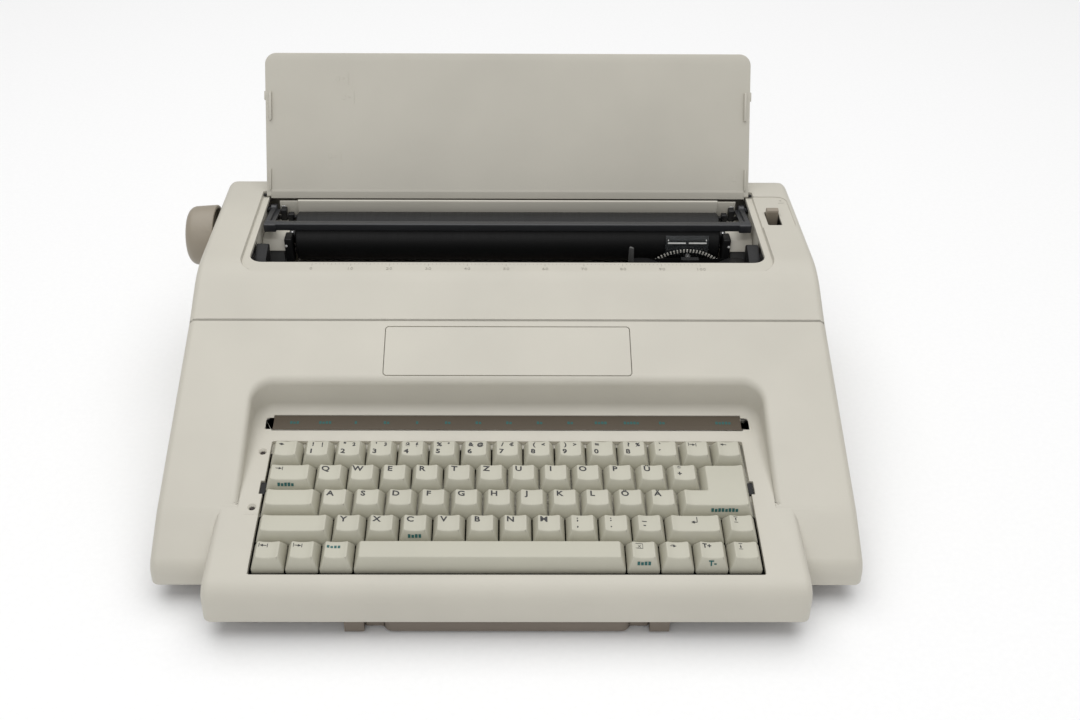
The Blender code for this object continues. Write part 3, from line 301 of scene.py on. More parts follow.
def boolean(bm, other, operation="DIFFERENCE"):
    """Cuts other from bm, or welds it on with UNION, and returns the new mesh."""
    items = []
    for part in (bm, other):
        mesh = bpy.data.meshes.new("part")
        part.to_mesh(mesh)
        part.free()
        item = bpy.data.objects.new("part", mesh)
        bpy.context.scene.collection.objects.link(item)
        items.append(item)
    modifier = items[0].modifiers.new("cut", "BOOLEAN")
    modifier.operation = operation
    modifier.object = items[1]
    bpy.context.view_layer.update()
    result = items[0].evaluated_get(bpy.context.evaluated_depsgraph_get())
    made = bmesh.new()
    made.from_mesh(result.to_mesh())
    for item in items:
        mesh = item.data
        bpy.data.objects.remove(item)
        bpy.data.meshes.remove(mesh)
    bmesh.ops.remove_doubles(made, verts=made.verts, dist=1e-4)
    return made


def cut(bm, *others):
    for other in others:
        bm = boolean(bm, other)
    return bm


def weld(bm, *others):
    for other in others:
        bm = boolean(bm, other, "UNION")
    return bm


print("turned, rod, cut and weld are ready")

# %% One function finishes every piece
def finish(name, bm, shade, body="machine", replaces=(), smooth=35.0, ease=0.0, places=None):
    """Turns a workshop mesh into metres, with its material, its body and the nodes that it stands for."""
    if places:
        bm.transform(places)
    bmesh.ops.scale(bm, verts=bm.verts, vec=(MM, MM, MM))
    bmesh.ops.translate(bm, verts=bm.verts, vec=HOME)
    mesh = bpy.data.meshes.new(name)
    bm.to_mesh(mesh)
    bm.free()
    mesh.shade_smooth()
    mesh.set_sharp_from_angle(angle=radians(smooth))
    for material in shade if isinstance(shade, (list, tuple)) else [shade]:
        mesh.materials.append(material)
    item = bpy.data.objects.new(name, mesh)
    bpy.context.scene.collection.objects.link(item)
    if ease:
        bevel = item.modifiers.new("ease", "BEVEL")
        bevel.width = ease * MM
        bevel.segments = 2
        bevel.limit_method = "ANGLE"
        bevel.angle_limit = radians(40)
        bevel.use_clamp_overlap = False
        bevel.harden_normals = True
    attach(item, body)
    if replaces:
        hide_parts(*replaces)
    print(name, len(mesh.polygons), "faces on", body)
    return item


print("finish is ready")

# %% [markdown]
# ## Materials as expressions
#
# A moulded surface is never one flat colour: it has a spark-eroded grain, slow drifts of shade, and a
# little more shine where hands and dust have been. Nodes could be wired by hand in dozens of lines each.
# Instead one small class wraps a socket so that sums can be written as sums, and one method adds any other
# node.

# %% A socket that can be used in a sum
class Value:
    """A shader output that adds a Math node when it meets an operator."""

    def __init__(self, shade, socket):
        self.shade = shade
        self.socket = socket

    def math(self, operation, first, second):
        return self.shade.add("ShaderNodeMath", {"operation": operation}, {0: first, 1: second})

    def __add__(self, other):
        return self.math("ADD", self, other)

    def __radd__(self, other):
        return self.math("ADD", other, self)

    def __sub__(self, other):
        return self.math("SUBTRACT", self, other)

    def __rsub__(self, other):
        return self.math("SUBTRACT", other, self)

    def __mul__(self, other):
        return self.math("MULTIPLY", self, other)

    def __rmul__(self, other):
        return self.math("MULTIPLY", other, self)


class Shade:
    """A material being made: its Principled shader, its nodes and its Object coordinates."""

    def __init__(self, name, **constants):
        self.material = bpy.data.materials.new(name)
        self.material.use_nodes = True
        self.nodes = self.material.node_tree.nodes
        self.links = self.material.node_tree.links
        self.surface = self.nodes["Principled BSDF"]
        for socket, value in constants.items():
            self.surface.inputs[socket.replace("_", " ").title().replace("Ior", "IOR")].default_value = value
        self.place = self.add("ShaderNodeTexCoord", output="Object")

    def add(self, kind, settings=None, values=None, output=0):
        """Any node: its settings first, then the values or links of its sockets."""
        node = self.nodes.new(kind)
        for name, value in (settings or {}).items():
            if name == "stops":
                ramp = node.color_ramp.elements
                ramp[0].position, ramp[0].color = value[0][0], grey(value[0][1])
                ramp[1].position, ramp[1].color = value[-1][0], grey(value[-1][1])
                for position, level in value[1:-1]:
                    ramp.new(position).color = grey(level)
            else:
                setattr(node, name, value)
        for name, value in (values or {}).items():
            self.feed(node.inputs[name], value)
        return Value(self, node.outputs[output])

    def feed(self, socket, value):
        if isinstance(value, Value):
            self.links.new(value.socket, socket)
        else:
            socket.default_value = value

    def noise(self, scale, detail=2.0, place=None, roughness=0.5):
        values = {"Vector": place or self.place, "Scale": scale, "Detail": detail, "Roughness": roughness}
        return self.add("ShaderNodeTexNoise", {}, values)

    def ramp(self, value, *stops):
        return self.add("ShaderNodeValToRGB", {"stops": stops}, {0: value})

    def mix(self, factor, first, second):
        settings = {"data_type": "RGBA"}
        return self.add("ShaderNodeMix", settings, {0: factor, 6: first, 7: second}, output=2)

    def bump(self, height, distance, strength=1.0, normal=None):
        values = {"Height": height, "Distance": distance, "Strength": strength}
        if normal:
            values["Normal"] = normal
        return self.add("ShaderNodeBump", {}, values)

    def finish(self, colour=None, roughness=None, normal=None):
        for socket, value in (("Base Color", colour), ("Roughness", roughness), ("Normal", normal)):
            if value is not None:
                self.feed(self.surface.inputs[socket], value)
        return self.material


def grey(level):
    return tuple(level) if isinstance(level, tuple) else (level, level, level, 1.0)


def tint(colour, factor):
    """A colour as RGBA, made lighter or darker."""
    return tuple(min(1.0, c * factor) for c in colour) + (1.0,)


print("shader sums are ready")

# %% [markdown]
# ## Moulded plastic
#
# The housings are warm grey ABS from a mould with a fine spark-eroded texture: tiny soft pits about a third
# of a millimetre across. An image could give that, but noise gives it at any distance without a seam. Three
# layers are enough: the grain, a slow drift of shade, and a patchy sheen from handling.

# %% One recipe for every grained plastic
def grained(name, colour, roughness, grain=0.00035, depth=0.00003, drift=0.05, sheen=0.06, **constants):
    """Moulded plastic: grain is the size of its pits and depth their height, both in metres."""
    shade = Shade(name, **constants)
    pits = shade.noise(1.0 / grain, detail=2.0)
    cloud = shade.noise(14.0, detail=3.0)
    speck = shade.noise(420.0, detail=1.0)
    tone = shade.ramp(cloud, (0.3, 0.0), (0.7, 1.0))
    base = shade.mix(tone, tint(colour, 1 - drift), tint(colour, 1 + drift / 2))
    fleck = shade.ramp(speck, (0.62, 0.0), (0.8, 1.0)) * (drift * 0.8)
    base = shade.mix(fleck, base, tint(colour, 0.72))
    worn = roughness + (cloud - 0.5) * sheen + (pits - 0.5) * sheen
    return shade.finish(base, worn, shade.bump(pits, depth))


SHELL_COLOUR = (0.55, 0.525, 0.456)
CAP_COLOUR = (0.49, 0.475, 0.392)
TAUPE_COLOUR = (0.30, 0.262, 0.207)
HANDLE_COLOUR = (0.185, 0.155, 0.125)
shell_plastic = grained("shell_plastic", SHELL_COLOUR, 0.46)
lid_plastic = grained("lid_plastic", tint(SHELL_COLOUR, 0.95)[:3], 0.5)
# The marks are the shell's plastic made darker: painted shade for the shade of their small relief.
painted_shade_mark_plastic = grained("painted_shade_mark_plastic", tint(SHELL_COLOUR, 0.72)[:3], 0.5)
cap_plastic = grained("cap_plastic", CAP_COLOUR, 0.42, grain=0.0005, depth=0.000022, sheen=0.12)
taupe_plastic = grained("taupe_plastic", TAUPE_COLOUR, 0.42, depth=0.00002)
handle_plastic = grained("handle_plastic", HANDLE_COLOUR, 0.52)
strip_plastic = grained("strip_plastic", (0.088, 0.07, 0.05), 0.5, grain=0.0007, specular_ior_level=0.3)
black_plastic = grained("black_plastic", (0.01, 0.01, 0.0105), 0.45, drift=0.12, specular_ior_level=0.28)
nylon = grained("nylon", (0.68, 0.66, 0.6), 0.48, depth=0.00001)
grey_plastic = grained("grey_plastic", (0.1, 0.1, 0.098), 0.45, drift=0.08)
print("plastics:", sum(1 for m in bpy.data.materials if m.name.endswith("plastic")))

# %% [markdown]
# ## Rubber, paint, metal and ink
#
# The platen is ground rubber with faint rings from the grinder. The bail is steel under satin paint, the
# rails are zinc-plated and drawn along their length, and the legends are printed ink. Streaks come from
# stretching the noise's own coordinates along one axis, which costs one Mapping node.

# %% Streaks along one axis
def streaks(shade, stretch, scale):
    """Noise drawn out along the axis whose stretch is small."""
    long_way = shade.add("ShaderNodeMapping", {}, {"Vector": shade.place, "Scale": stretch})
    return shade.noise(scale, detail=3.0, place=long_way)


def metal(name, colour, roughness, stretch, depth=0.00001):
    shade = Shade(name, metallic=1.0)
    lines = streaks(shade, stretch, 900.0)
    cloud = shade.noise(45.0, detail=4.0)
    base = shade.mix(shade.ramp(cloud, (0.35, 0.0), (0.7, 1.0)), tint(colour, 0.86), tint(colour, 1.06))
    return shade.finish(base, roughness + (lines - 0.5) * 0.18 + (cloud - 0.5) * 0.1,
                        shade.bump(lines, depth))


def platen_rubber_shade():
    shade = Shade("ground_rubber", specular_ior_level=0.3)
    rings = streaks(shade, (1.0, 0.03, 0.03), 1400.0)
    dust = shade.noise(900.0, detail=3.0)
    pale = shade.ramp(dust, (0.6, 0.0), (0.82, 0.5))
    base = shade.mix(pale, (0.007, 0.007, 0.0072, 1.0), (0.02, 0.019, 0.018, 1.0))
    return shade.finish(base, 0.52 + (rings - 0.5) * 0.25, shade.bump(rings + dust * 0.5, 0.00004))


def painted_steel(name, colour, roughness):
    shade = Shade(name, coat_weight=0.15, coat_roughness=0.3)
    peel = shade.noise(700.0, detail=2.0)
    cloud = shade.noise(30.0, detail=3.0)
    base = shade.mix(cloud, tint(colour, 0.85), tint(colour, 1.2))
    return shade.finish(base, roughness + (peel - 0.5) * 0.12, shade.bump(peel, 0.00003))


def ink(name, colour):
    shade = Shade(name)
    cover = shade.noise(2600.0, detail=2.0)
    base = shade.mix(shade.ramp(cover, (0.45, 0.0), (0.75, 0.6)), tint(colour, 1.0), tint(colour, 1.5))
    return shade.finish(base, 0.4 + cover * 0.15, shade.bump(cover, 0.00001))


ground_rubber = platen_rubber_shade()
foot_rubber = grained("foot_rubber", (0.02, 0.02, 0.02), 0.75, grain=0.0006, depth=0.00006, drift=0.15)
bail_paint = painted_steel("bail_paint", (0.026, 0.027, 0.03), 0.36)
zinc_x = metal("zinc_x", (0.6, 0.6, 0.61), 0.3, (0.02, 1.0, 1.0))
zinc_sheet = metal("zinc_sheet", (0.56, 0.56, 0.55), 0.36, (1.0, 0.05, 1.0))
zinc_y = metal("zinc_y", (0.6, 0.6, 0.61), 0.3, (1.0, 0.02, 1.0))
dark_ink = ink("dark_ink", (0.02, 0.02, 0.022))
teal_ink = ink("teal_ink", (0.012, 0.095, 0.09))
white_ink = ink("white_ink", (0.75, 0.75, 0.72))
print("rubber, paint, metal and ink are mixed")

# %% Circuit board, lamp lens and clear guide
def lacquer_board():
    """Green solder mask with copper tracks that show through as paler lanes."""
    shade = Shade("lacquer_board", coat_weight=0.4, coat_roughness=0.2)
    values = {"Vector": shade.place, "Scale": 120.0, "Distortion": 6.0}
    lanes = shade.add("ShaderNodeTexWave", {"wave_type": "BANDS"}, values)
    track = shade.ramp(lanes, (0.55, 0.0), (0.62, 1.0))
    base = shade.mix(track, (0.012, 0.09, 0.035, 1.0), (0.03, 0.17, 0.07, 1.0))
    return shade.finish(base, 0.4 + (lanes - 0.5) * 0.1, shade.bump(track, 0.00003))


def lens(name, colour, weight, roughness):
    shade = Shade(name, transmission_weight=weight, ior=1.49)
    cloud = shade.noise(60.0, detail=2.0)
    base = shade.mix(cloud, tint(colour, 0.85), tint(colour, 1.1))
    return shade.finish(base, roughness + cloud * 0.06, shade.bump(cloud, 0.00001))


board_green = lacquer_board()
lamp_dark = lens("lamp_dark", (0.022, 0.01, 0.009), 0.2, 0.18)
smoked_clear = lens("smoked_clear", (0.3, 0.32, 0.33), 0.9, 0.12)
print(len(bpy.data.materials), "materials in all")

# %% [markdown]
# ## The lower housing
#
# The front half of the case is one moulding: two shoulders run down to the desk, and between them a trough
# drops to the keyboard surround. It could be modelled as a cage under subdivision, but the flat surround
# and the straight walls would then need many holding loops. Here a slab of the side outline is rounded, the
# trough is cut out, the keyboard section is welded in, and the bevel operator rounds the rims where they
# meet.

# %% The keyboard's own slope
KEYBOARD_SLOPE = radians(7.9)
KEYBOARD_FRONT = (-166.0, 39.4)
KEY_PITCH = 19.05
KEYBOARD_ROWS = 5
KEYBOARD_UNITS = 15
OPENING_LENGTH = KEYBOARD_ROWS * KEY_PITCH + 4.6
OPENING_X = KEYBOARD_UNITS * KEY_PITCH / 2 + 1.1


def on_keyboard(along, height):
    """The (y, z) of a point up the keyboard slope and square above it."""
    c, s = cos(KEYBOARD_SLOPE), sin(KEYBOARD_SLOPE)
    return (KEYBOARD_FRONT[0] + along * c - height * s, KEYBOARD_FRONT[1] + along * s + height * c)


def surround_height(y):
    return KEYBOARD_FRONT[1] + (y - KEYBOARD_FRONT[0]) * tan(KEYBOARD_SLOPE)


def to_keyboard(bm):
    """Lays a mesh drawn flat, with X across, Y up the slope and Z above the surround, on the keyboard."""
    return tilted(bm, (0.0, *KEYBOARD_FRONT), KEYBOARD_SLOPE)


def keyboard_slab(x, along, height, radius=0.0, segments=4):
    """A block that lies parallel to the keyboard surround; radius rounds its corners as seen from above."""
    return to_keyboard(plate_of(x, along, *height, "z", radius, segments))


print("keyboard opening", round(2 * OPENING_X, 2), "by", round(OPENING_LENGTH, 2))

# %% The case as a slab of its side outline
WALL = 2.8
SIDE_LEAN = 3.2
SIDE_ROUND = 5.0
TROUGH_HALF = OPENING_X + 13.0
TROUGH_BACK = on_keyboard(OPENING_LENGTH + 26.3, 0)[0]
TROUGH_CORNER = 12.0
ROOT_ROUND = 6.0  # where the trough's walls run out into the surround
FRONT_HALF = TROUGH_HALF + 13.0
SLOPE_TOP = (-1.4, 97.9)  # the deck's slope runs between these two (y, z) points
SLOPE_FOOT = (-120.6, 45.4)
SHOULDER_FRONT = -149.7
SHOULDER_CORNERS = [
    (HOUSING_BACK, HOUSING_BOTTOM, 0),
    (HOUSING_BACK, DECK_TOP, 13),
    (33.0, DECK_TOP, 48),
    (*SLOPE_TOP, 40),
    (*SLOPE_FOOT, 60),
    (SHOULDER_FRONT, 27.0, 12),
    (SHOULDER_FRONT, HOUSING_BOTTOM, 0),
]
FRONT_CORNERS = [
    (TROUGH_BACK + WALL, HOUSING_BOTTOM, 0),
    (TROUGH_BACK + WALL, surround_height(TROUGH_BACK + WALL), 0),
    (FRONT_EDGE, surround_height(FRONT_EDGE), 12),
    (FRONT_EDGE, HOUSING_BOTTOM, 0),
]


def moved_in(corners, distance):
    """The same outline with every edge moved inwards, and open below so that the case has no floor."""
    count = len(corners)
    moved = []
    for i, (a, b, radius) in enumerate(corners):
        here = Vector((a, b))
        before = (here - Vector(corners[i - 1][:2])).normalized()
        after = (Vector(corners[(i + 1) % count][:2]) - here).normalized()
        bisector = (Vector((-before.y, before.x)) + Vector((-after.y, after.x))).normalized()
        spot = here + bisector * (distance / max(0.2, bisector.dot(Vector((-after.y, after.x)))))
        moved.append((spot.x, spot.y, max(0.0, radius - distance) if radius else 0.0))
    below = HOUSING_BOTTOM - 14.0
    moved[0] = (moved[0][0], below, 0)
    moved[-1] = (moved[-1][0], below, 0)
    return moved


def case_block(corners, half, inset=0.0, segments=6):
    """A full-width slab of the case with round, leaning sides; inset gives its hollow."""
    inner = moved_in(corners, inset) if inset else corners
    half = half - inset
    bm = slab(inner, -half, half, "x", segments)
    floor = min(v.co.z for v in bm.verts)
    rims = [
        e for e in bm.edges
        if all(abs(abs(v.co.x) - half) < 1e-3 for v in e.verts)
        and e.verts[0].co.x * e.verts[1].co.x > 0
        and not all(abs(v.co.z - floor) < 1e-3 for v in e.verts)
    ]
    round_edges(bm, rims, SIDE_ROUND - inset, segments)
    for v in bm.verts:
        v.co.x *= 1 - SIDE_LEAN / HOUSING_HALF * (v.co.z - HOUSING_BOTTOM) / (DECK_TOP - HOUSING_BOTTOM)
    return bm


def trough_space(grow=0.0):
    """The air over the keyboard between the shoulders; grow widens it by a wall."""
    back = TROUGH_BACK + grow
    half = TROUGH_HALF + grow
    corner = TROUGH_CORNER + grow
    front = FRONT_EDGE - 40
    bm = slab([(-half, front, 0), (half, front, 0), (half, back, corner), (-half, back, corner)], 0, 200,
              "z", 8)
    if not grow:
        foot = [
            e for e in bm.edges
            if max(v.co.z for v in e.verts) < 1 and max(v.co.y for v in e.verts) > front + 1
        ]
        round_edges(bm, foot, ROOT_ROUND, 6)
        for y in range(-112, -64, 8):
            slice_at(bm, (0, y, 0), (0, 1, 0))
    for v in bm.verts:
        if v.co.z > 100:
            v.co.y -= 1.7 if v.co.y > back - TROUGH_CORNER else 0.0
            continue
        share = max(0.04, min(1.0, (v.co.y + 118.0) / 46.0))
        if abs(v.co.x) > half - ROOT_ROUND - 0.1 and not grow:
            v.co.x = (half - (half - abs(v.co.x)) * share) * (1 if v.co.x > 0 else -1)
            v.co.z *= share
        v.co.z += surround_height(v.co.y) - grow - (0.0 if grow else 0.04)
    return bm


print("trough", round(2 * TROUGH_HALF, 1), "wide")

# %% Round the rims of the trough, as the mould does
RIM_ROUND = 4.0


def on_trough_wall(co):
    """True on the side walls, the corner arcs or the back wall of the trough."""
    if abs(abs(co.x) - TROUGH_HALF) < 0.05 and co.y < TROUGH_BACK - TROUGH_CORNER + 0.1:
        return True
    behind = TROUGH_BACK - TROUGH_CORNER - 2.0 < co.y < TROUGH_BACK + 0.1
    return behind and abs(co.x) < TROUGH_HALF + 0.1


def round_trough(bm):
    """Rounds the rim where the walls meet the deck."""
    rim = [
        e for e in bm.edges
        if len(e.link_faces) == 2 and e.calc_face_angle(0.0) > radians(25)
        and all(on_trough_wall(v.co) and v.co.z > surround_height(v.co.y) + 0.5 for v in e.verts)
    ]
    round_edges(bm, rim, RIM_ROUND, 5)
    print("trough rim edges", len(rim))
    return bm


outer = boolean(case_block(SHOULDER_CORNERS, HOUSING_HALF), trough_space())
outer = round_trough(outer)
outer = weld(outer, case_block(FRONT_CORNERS, FRONT_HALF))
print("outer skin", len(outer.faces), "faces")

# %% The hollow inside, one wall thick
hollow = boolean(case_block(SHOULDER_CORNERS, HOUSING_HALF, WALL, 4), trough_space(WALL))
hollow = weld(hollow, case_block(FRONT_CORNERS, FRONT_HALF, WALL, 4))
lower = boolean(outer, hollow)
print("lower shell", len(lower.faces), "faces")

# %% Openings for the keys, the strip, the badge, the lamps and the clips
LEGEND_ALONG = (OPENING_LENGTH + 9.5, OPENING_LENGTH + 21.5)
LEGEND_HALF = TROUGH_HALF - 11.6
LEGEND_END_SLOT = 4.5
LAMP_X = -OPENING_X - 4.6
LAMP_PLACES = {"led_power": 91.0, "led_caps": 47.7}
DECK_ANGLE = atan2(SLOPE_TOP[1] - SLOPE_FOOT[1], SLOPE_TOP[0] - SLOPE_FOOT[0])
BADGE_HALF = 77.0
BADGE_FROM_SEAM = 4.5
BADGE_LENGTH = (SLOPE_TOP[0] - TROUGH_BACK) / cos(DECK_ANGLE) - BADGE_FROM_SEAM - 3.6


def deck_slab(x, down, height, radius=0.0, segments=5):
    """A block that lies on the sloping deck; down is measured from the seam."""
    flat = plate_of(x, (-down[1], -down[0]), *height, "z", radius, segments)
    return tilted(flat, (0.0, *SLOPE_TOP), DECK_ANGLE)


lower = cut(
    lower,
    keyboard_slab((-OPENING_X, OPENING_X), (0.0, OPENING_LENGTH), (-12.0, 12.0), 1.2),
    keyboard_slab((-LEGEND_HALF - 0.3, LEGEND_HALF + 0.3), (LEGEND_ALONG[0] - 0.4, LEGEND_ALONG[1] + 0.4),
                  (-1.5, 6.0), 0.3),
    deck_slab((-BADGE_HALF - 0.4, BADGE_HALF + 0.4),
              (BADGE_FROM_SEAM - 0.4, BADGE_FROM_SEAM + BADGE_LENGTH + 0.4),
              (-1.5, 6.0), 2.4),
    brick((-HOUSING_HALF - 30, HOUSING_HALF + 30), (SEAM_Y, HOUSING_BACK + 40), (-20, DECK_TOP + 40), 0),
)
CATCH_ALONG = (LEGEND_ALONG[0] + 0.8, LEGEND_ALONG[1] - 2.2)
for side in (-1, 1):
    x = side * (OPENING_X + 0.4)
    catch = span(side, LEGEND_HALF + 0.9, LEGEND_HALF + LEGEND_END_SLOT)
    lower = cut(lower, keyboard_slab((x - 1.8, x + 1.8), (58.0, 68.0), (-8.0, 8.0), 0.4),
                keyboard_slab(catch, CATCH_ALONG, (-1.6, 6.0), 0.3))
for along in LAMP_PLACES.values():
    y, z = on_keyboard(along, 0)
    lower = cut(lower, turned([(0, z - 8), (1.7, z - 8), (1.7, z - 1.0), (3.0, z + 0.5), (3.0, z + 8),
                               (0, z + 8)],
                              (LAMP_X, y), "z", 20))
finish("housing_front", lower, shell_plastic, replaces=["keyboard_housing"], smooth=32, ease=0.35)

# %% [markdown]
# ## The rear cover
#
# The cover carries the machine's face: a long opening over the platen, a shallow seat for the lid that runs
# out into the slope, a dished corner for the release lever, and a raised ruler along the front rim. The
# seat's floor is left in when the hollow is cut, so the rim keeps its thickness all round.

# %% Shared places on the deck
LID_THICKNESS = 2.3
RECESS_DEPTH = LID_THICKNESS + 0.3
OPENING_HALF = 170.3
OPENING_FRONT = 42.1
HINGE_Y = 131.8
HINGE_Z = DECK_TOP - LID_THICKNESS / 2
LID_HALF = 172.0
LID_LENGTH = 99.6
RECESS_HALF = LID_HALF + 2.5
RECESS_BACK = HINGE_Y + 3.6
RECESS_FRONT = 30.0
lever_high = workshop_box("release_lever")[1]
LEVER_X = lever_high.x - 4.0
LEVER_Y = lever_high.y - 2.5
SLOT_Y = (LEVER_Y - 15.0, LEVER_Y + 3.3)
inlet_low, inlet_high = workshop_box("power_inlet")
switch_low, switch_high = workshop_box("power_switch")
print("lever slot at", round(LEVER_X, 1), "inlet", round(inlet_low.x), "to", round(inlet_high.x))

# %% The plan of the cover, with its two round rear corners
REAR_CORNER = 25.0


def rear_plan(inset=0.0):
    """A tall block over the cover's plan; inset gives the plan of its hollow."""
    half, back, corner = HOUSING_HALF - 1.0 - inset, HOUSING_BACK - inset, REAR_CORNER - inset
    return slab([(-half, -80, 0), (half, -80, 0), (half, back, corner), (-half, back, corner)], -40, 200,
                "z", 10)


# %% Cut the cover
cover = boolean(case_block(SHOULDER_CORNERS, HOUSING_HALF), rear_plan(), "INTERSECT")
cover_hollow = boolean(
    boolean(case_block(SHOULDER_CORNERS, HOUSING_HALF, WALL, 4), rear_plan(WALL), "INTERSECT"),
    brick((-RECESS_HALF - WALL, RECESS_HALF + WALL), (30.0, RECESS_BACK + WALL),
          (DECK_TOP - RECESS_DEPTH - WALL, DECK_TOP + 30), 0),
)
seat = slab([(-RECESS_HALF, RECESS_FRONT, 14), (RECESS_HALF, RECESS_FRONT, 14), (RECESS_HALF, RECESS_BACK, 1),
             (-RECESS_HALF, RECESS_BACK, 1)], DECK_TOP - RECESS_DEPTH, DECK_TOP + 30, "z", 8)
for v in seat.verts:
    if v.co.z > DECK_TOP:
        v.co.x *= 1 + 8.0 / RECESS_HALF
        v.co.y -= 8.0 if v.co.y < 60 else 0.0
mouth = slab([(-OPENING_HALF, OPENING_FRONT, 9), (OPENING_HALF, OPENING_FRONT, 9),
              (OPENING_HALF, RECESS_BACK, 0),
              (-OPENING_HALF, RECESS_BACK, 0)], DECK_TOP - 25, DECK_TOP + 25, "z", 8)
dish = slab([(174.0, 85.0, 2), (198.0, 85.0, 5), (198.0, 129.0, 7), (174.0, 129.0, 2)],
            DECK_TOP - 0.9, DECK_TOP + 8, "z", 5)
slot_half = 4.8
slot = plate_of((LEVER_X - slot_half, LEVER_X + slot_half), SLOT_Y, DECK_TOP - 12, DECK_TOP + 12, "z", 1, 3)
rear = (HOUSING_BACK - 10, HOUSING_BACK + 10)
cover = cut(
    cover, cover_hollow, seat, mouth, dish, slot,
    rod((PLATEN.y, PLATEN.z), 7.0, -230, -HOUSING_HALF + 30, "x"),
    brick((inlet_low.x - 0.5, inlet_high.x + 0.5), rear, (inlet_low.z - 0.5, inlet_high.z + 0.5), 0),
    brick((switch_low.x - 0.6, switch_high.x + 0.6), rear, (switch_low.z - 1.0, switch_high.z + 1.0), 0),
    brick((-HOUSING_HALF - 30, HOUSING_HALF + 30), (FRONT_EDGE - 20, SEAM_Y + 0.5), (-20, DECK_TOP + 40), 0),
)
vents = [brick((x - 1.0, x + 1.0), rear, (60.0, 86.0), 0) for x in range(-60, 61, 10)]
cover = cut(cover, join(*vents))
finish("housing_rear", cover, shell_plastic, replaces=["top_cover"], smooth=32, ease=0.4)

# %% [markdown]
# ## A raised ruler and small marks
#
# The front rim of the cover carries a moulded ruler: short ticks with a number every tenth one, standing a
# few tenths of a millimetre proud in the same plastic, coloured darker than the shell as painted shade. Bump
# alone would vanish in the mesh, so the marks are real: thin bars, and numbers from Blender's own font turned
# into closed solids.

# %% Letters as closed solids
def glyph(text, size, depth=0.12, bold=0.0, wide=1.0):
    """A character as a closed mesh about its own middle, with depth along Z; wide stretches it along X."""
    curve = bpy.data.curves.new("glyph", "FONT")
    curve.body = text
    curve.size = size
    curve.extrude = depth / 2
    curve.offset = bold
    curve.resolution_u = 3
    curve.space_character = 1.1
    curve.align_x = "CENTER"
    curve.align_y = "CENTER"
    item = bpy.data.objects.new("glyph", curve)
    bpy.context.scene.collection.objects.link(item)
    mesh = bpy.data.meshes.new_from_object(item.evaluated_get(bpy.context.evaluated_depsgraph_get()))
    bm = bmesh.new()
    bm.from_mesh(mesh)
    bpy.data.objects.remove(item)
    bpy.data.curves.remove(curve)
    bpy.data.meshes.remove(mesh)
    bmesh.ops.remove_doubles(bm, verts=bm.verts, dist=1e-4)
    bmesh.ops.scale(bm, verts=bm.verts, vec=(wide, 1.0, 1.0))
    return bm


def bar(x, y, depth=0.12):
    """A thin flat bar, for ticks and strokes."""
    bm = bmesh.new()
    bmesh.ops.create_cube(bm, size=1.0)
    bmesh.ops.scale(bm, verts=bm.verts, vec=(x[1] - x[0], y[1] - y[0], depth))
    bmesh.ops.translate(bm, verts=bm.verts, vec=((x[0] + x[1]) / 2, (y[0] + y[1]) / 2, 0.0))
    return bm


def at(bm, x=0.0, y=0.0, z=0.0):
    bmesh.ops.translate(bm, verts=bm.verts, vec=(x, y, z))
    return bm


print("glyphs are ready")

# %% The ruler on the rim of the seat, and the marks beside the lever
RULER_STEP = 2.54
RULER_Z = DECK_TOP - RECESS_DEPTH + 0.06
marks = []
for k in range(101):
    x = -128.0 + k * RULER_STEP
    tall = 2.6 if k % 10 == 0 else 1.5 if k % 5 == 0 else 0.9
    marks.append(at(bar((x - 0.16, x + 0.16), (40.0 - tall, 40.0), 0.24), z=RULER_Z))
    if k % 10 == 0:
        marks.append(at(glyph(str(k), 4.0, 0.24, 0.02), x, 33.6, RULER_Z))
finish("ruler", join(*marks), painted_shade_mark_plastic, smooth=20)
small = [at(glyph("<", 3.2, 0.24), 193.6, 124.0, DECK_TOP - 0.84)]
small.append(at(bar((191.6, 195.6), (120.6, 120.9), 0.24), z=DECK_TOP - 0.84))
finish("lever_marks", join(*small), painted_shade_mark_plastic, smooth=20)

# %% [markdown]
# ## The lid, which is also the paper support
#
# The lid is a thin plate that covers the platen and folds back to hold the sheet. Its tip has round
# corners, each long edge carries a paper clip rib, and its lower end turns down into a short skirt that
# carries the hinge pins. It is drawn lying shut, where every number is easy to read, and then swung up
# about its hinge.

# %% The swing of the lid
LID_LEAN = radians(30.2)
LID_OPEN = (
    Matrix.Translation((0.0, HINGE_Y, HINGE_Z))
    @ Matrix.Rotation(-(pi / 2 + LID_LEAN), 4, "X")
    @ Matrix.Translation((0.0, -HINGE_Y, -HINGE_Z))
)
lid_under = DECK_TOP - LID_THICKNESS
lid_tip = HINGE_Y - LID_LENGTH
lid_root = HINGE_Y - 2.4
plate = slab([(-LID_HALF, lid_tip, 8), (LID_HALF, lid_tip, 8), (LID_HALF, lid_root, 0),
              (-LID_HALF, lid_root, 0)],
             lid_under, DECK_TOP, "z", 8)
soften(plate, 0.55, 3, lambda e: e.verts[0].co.y < lid_root - 0.1 or e.verts[1].co.y < lid_root - 0.1, 60)
print("lid plate", len(plate.faces), "faces")
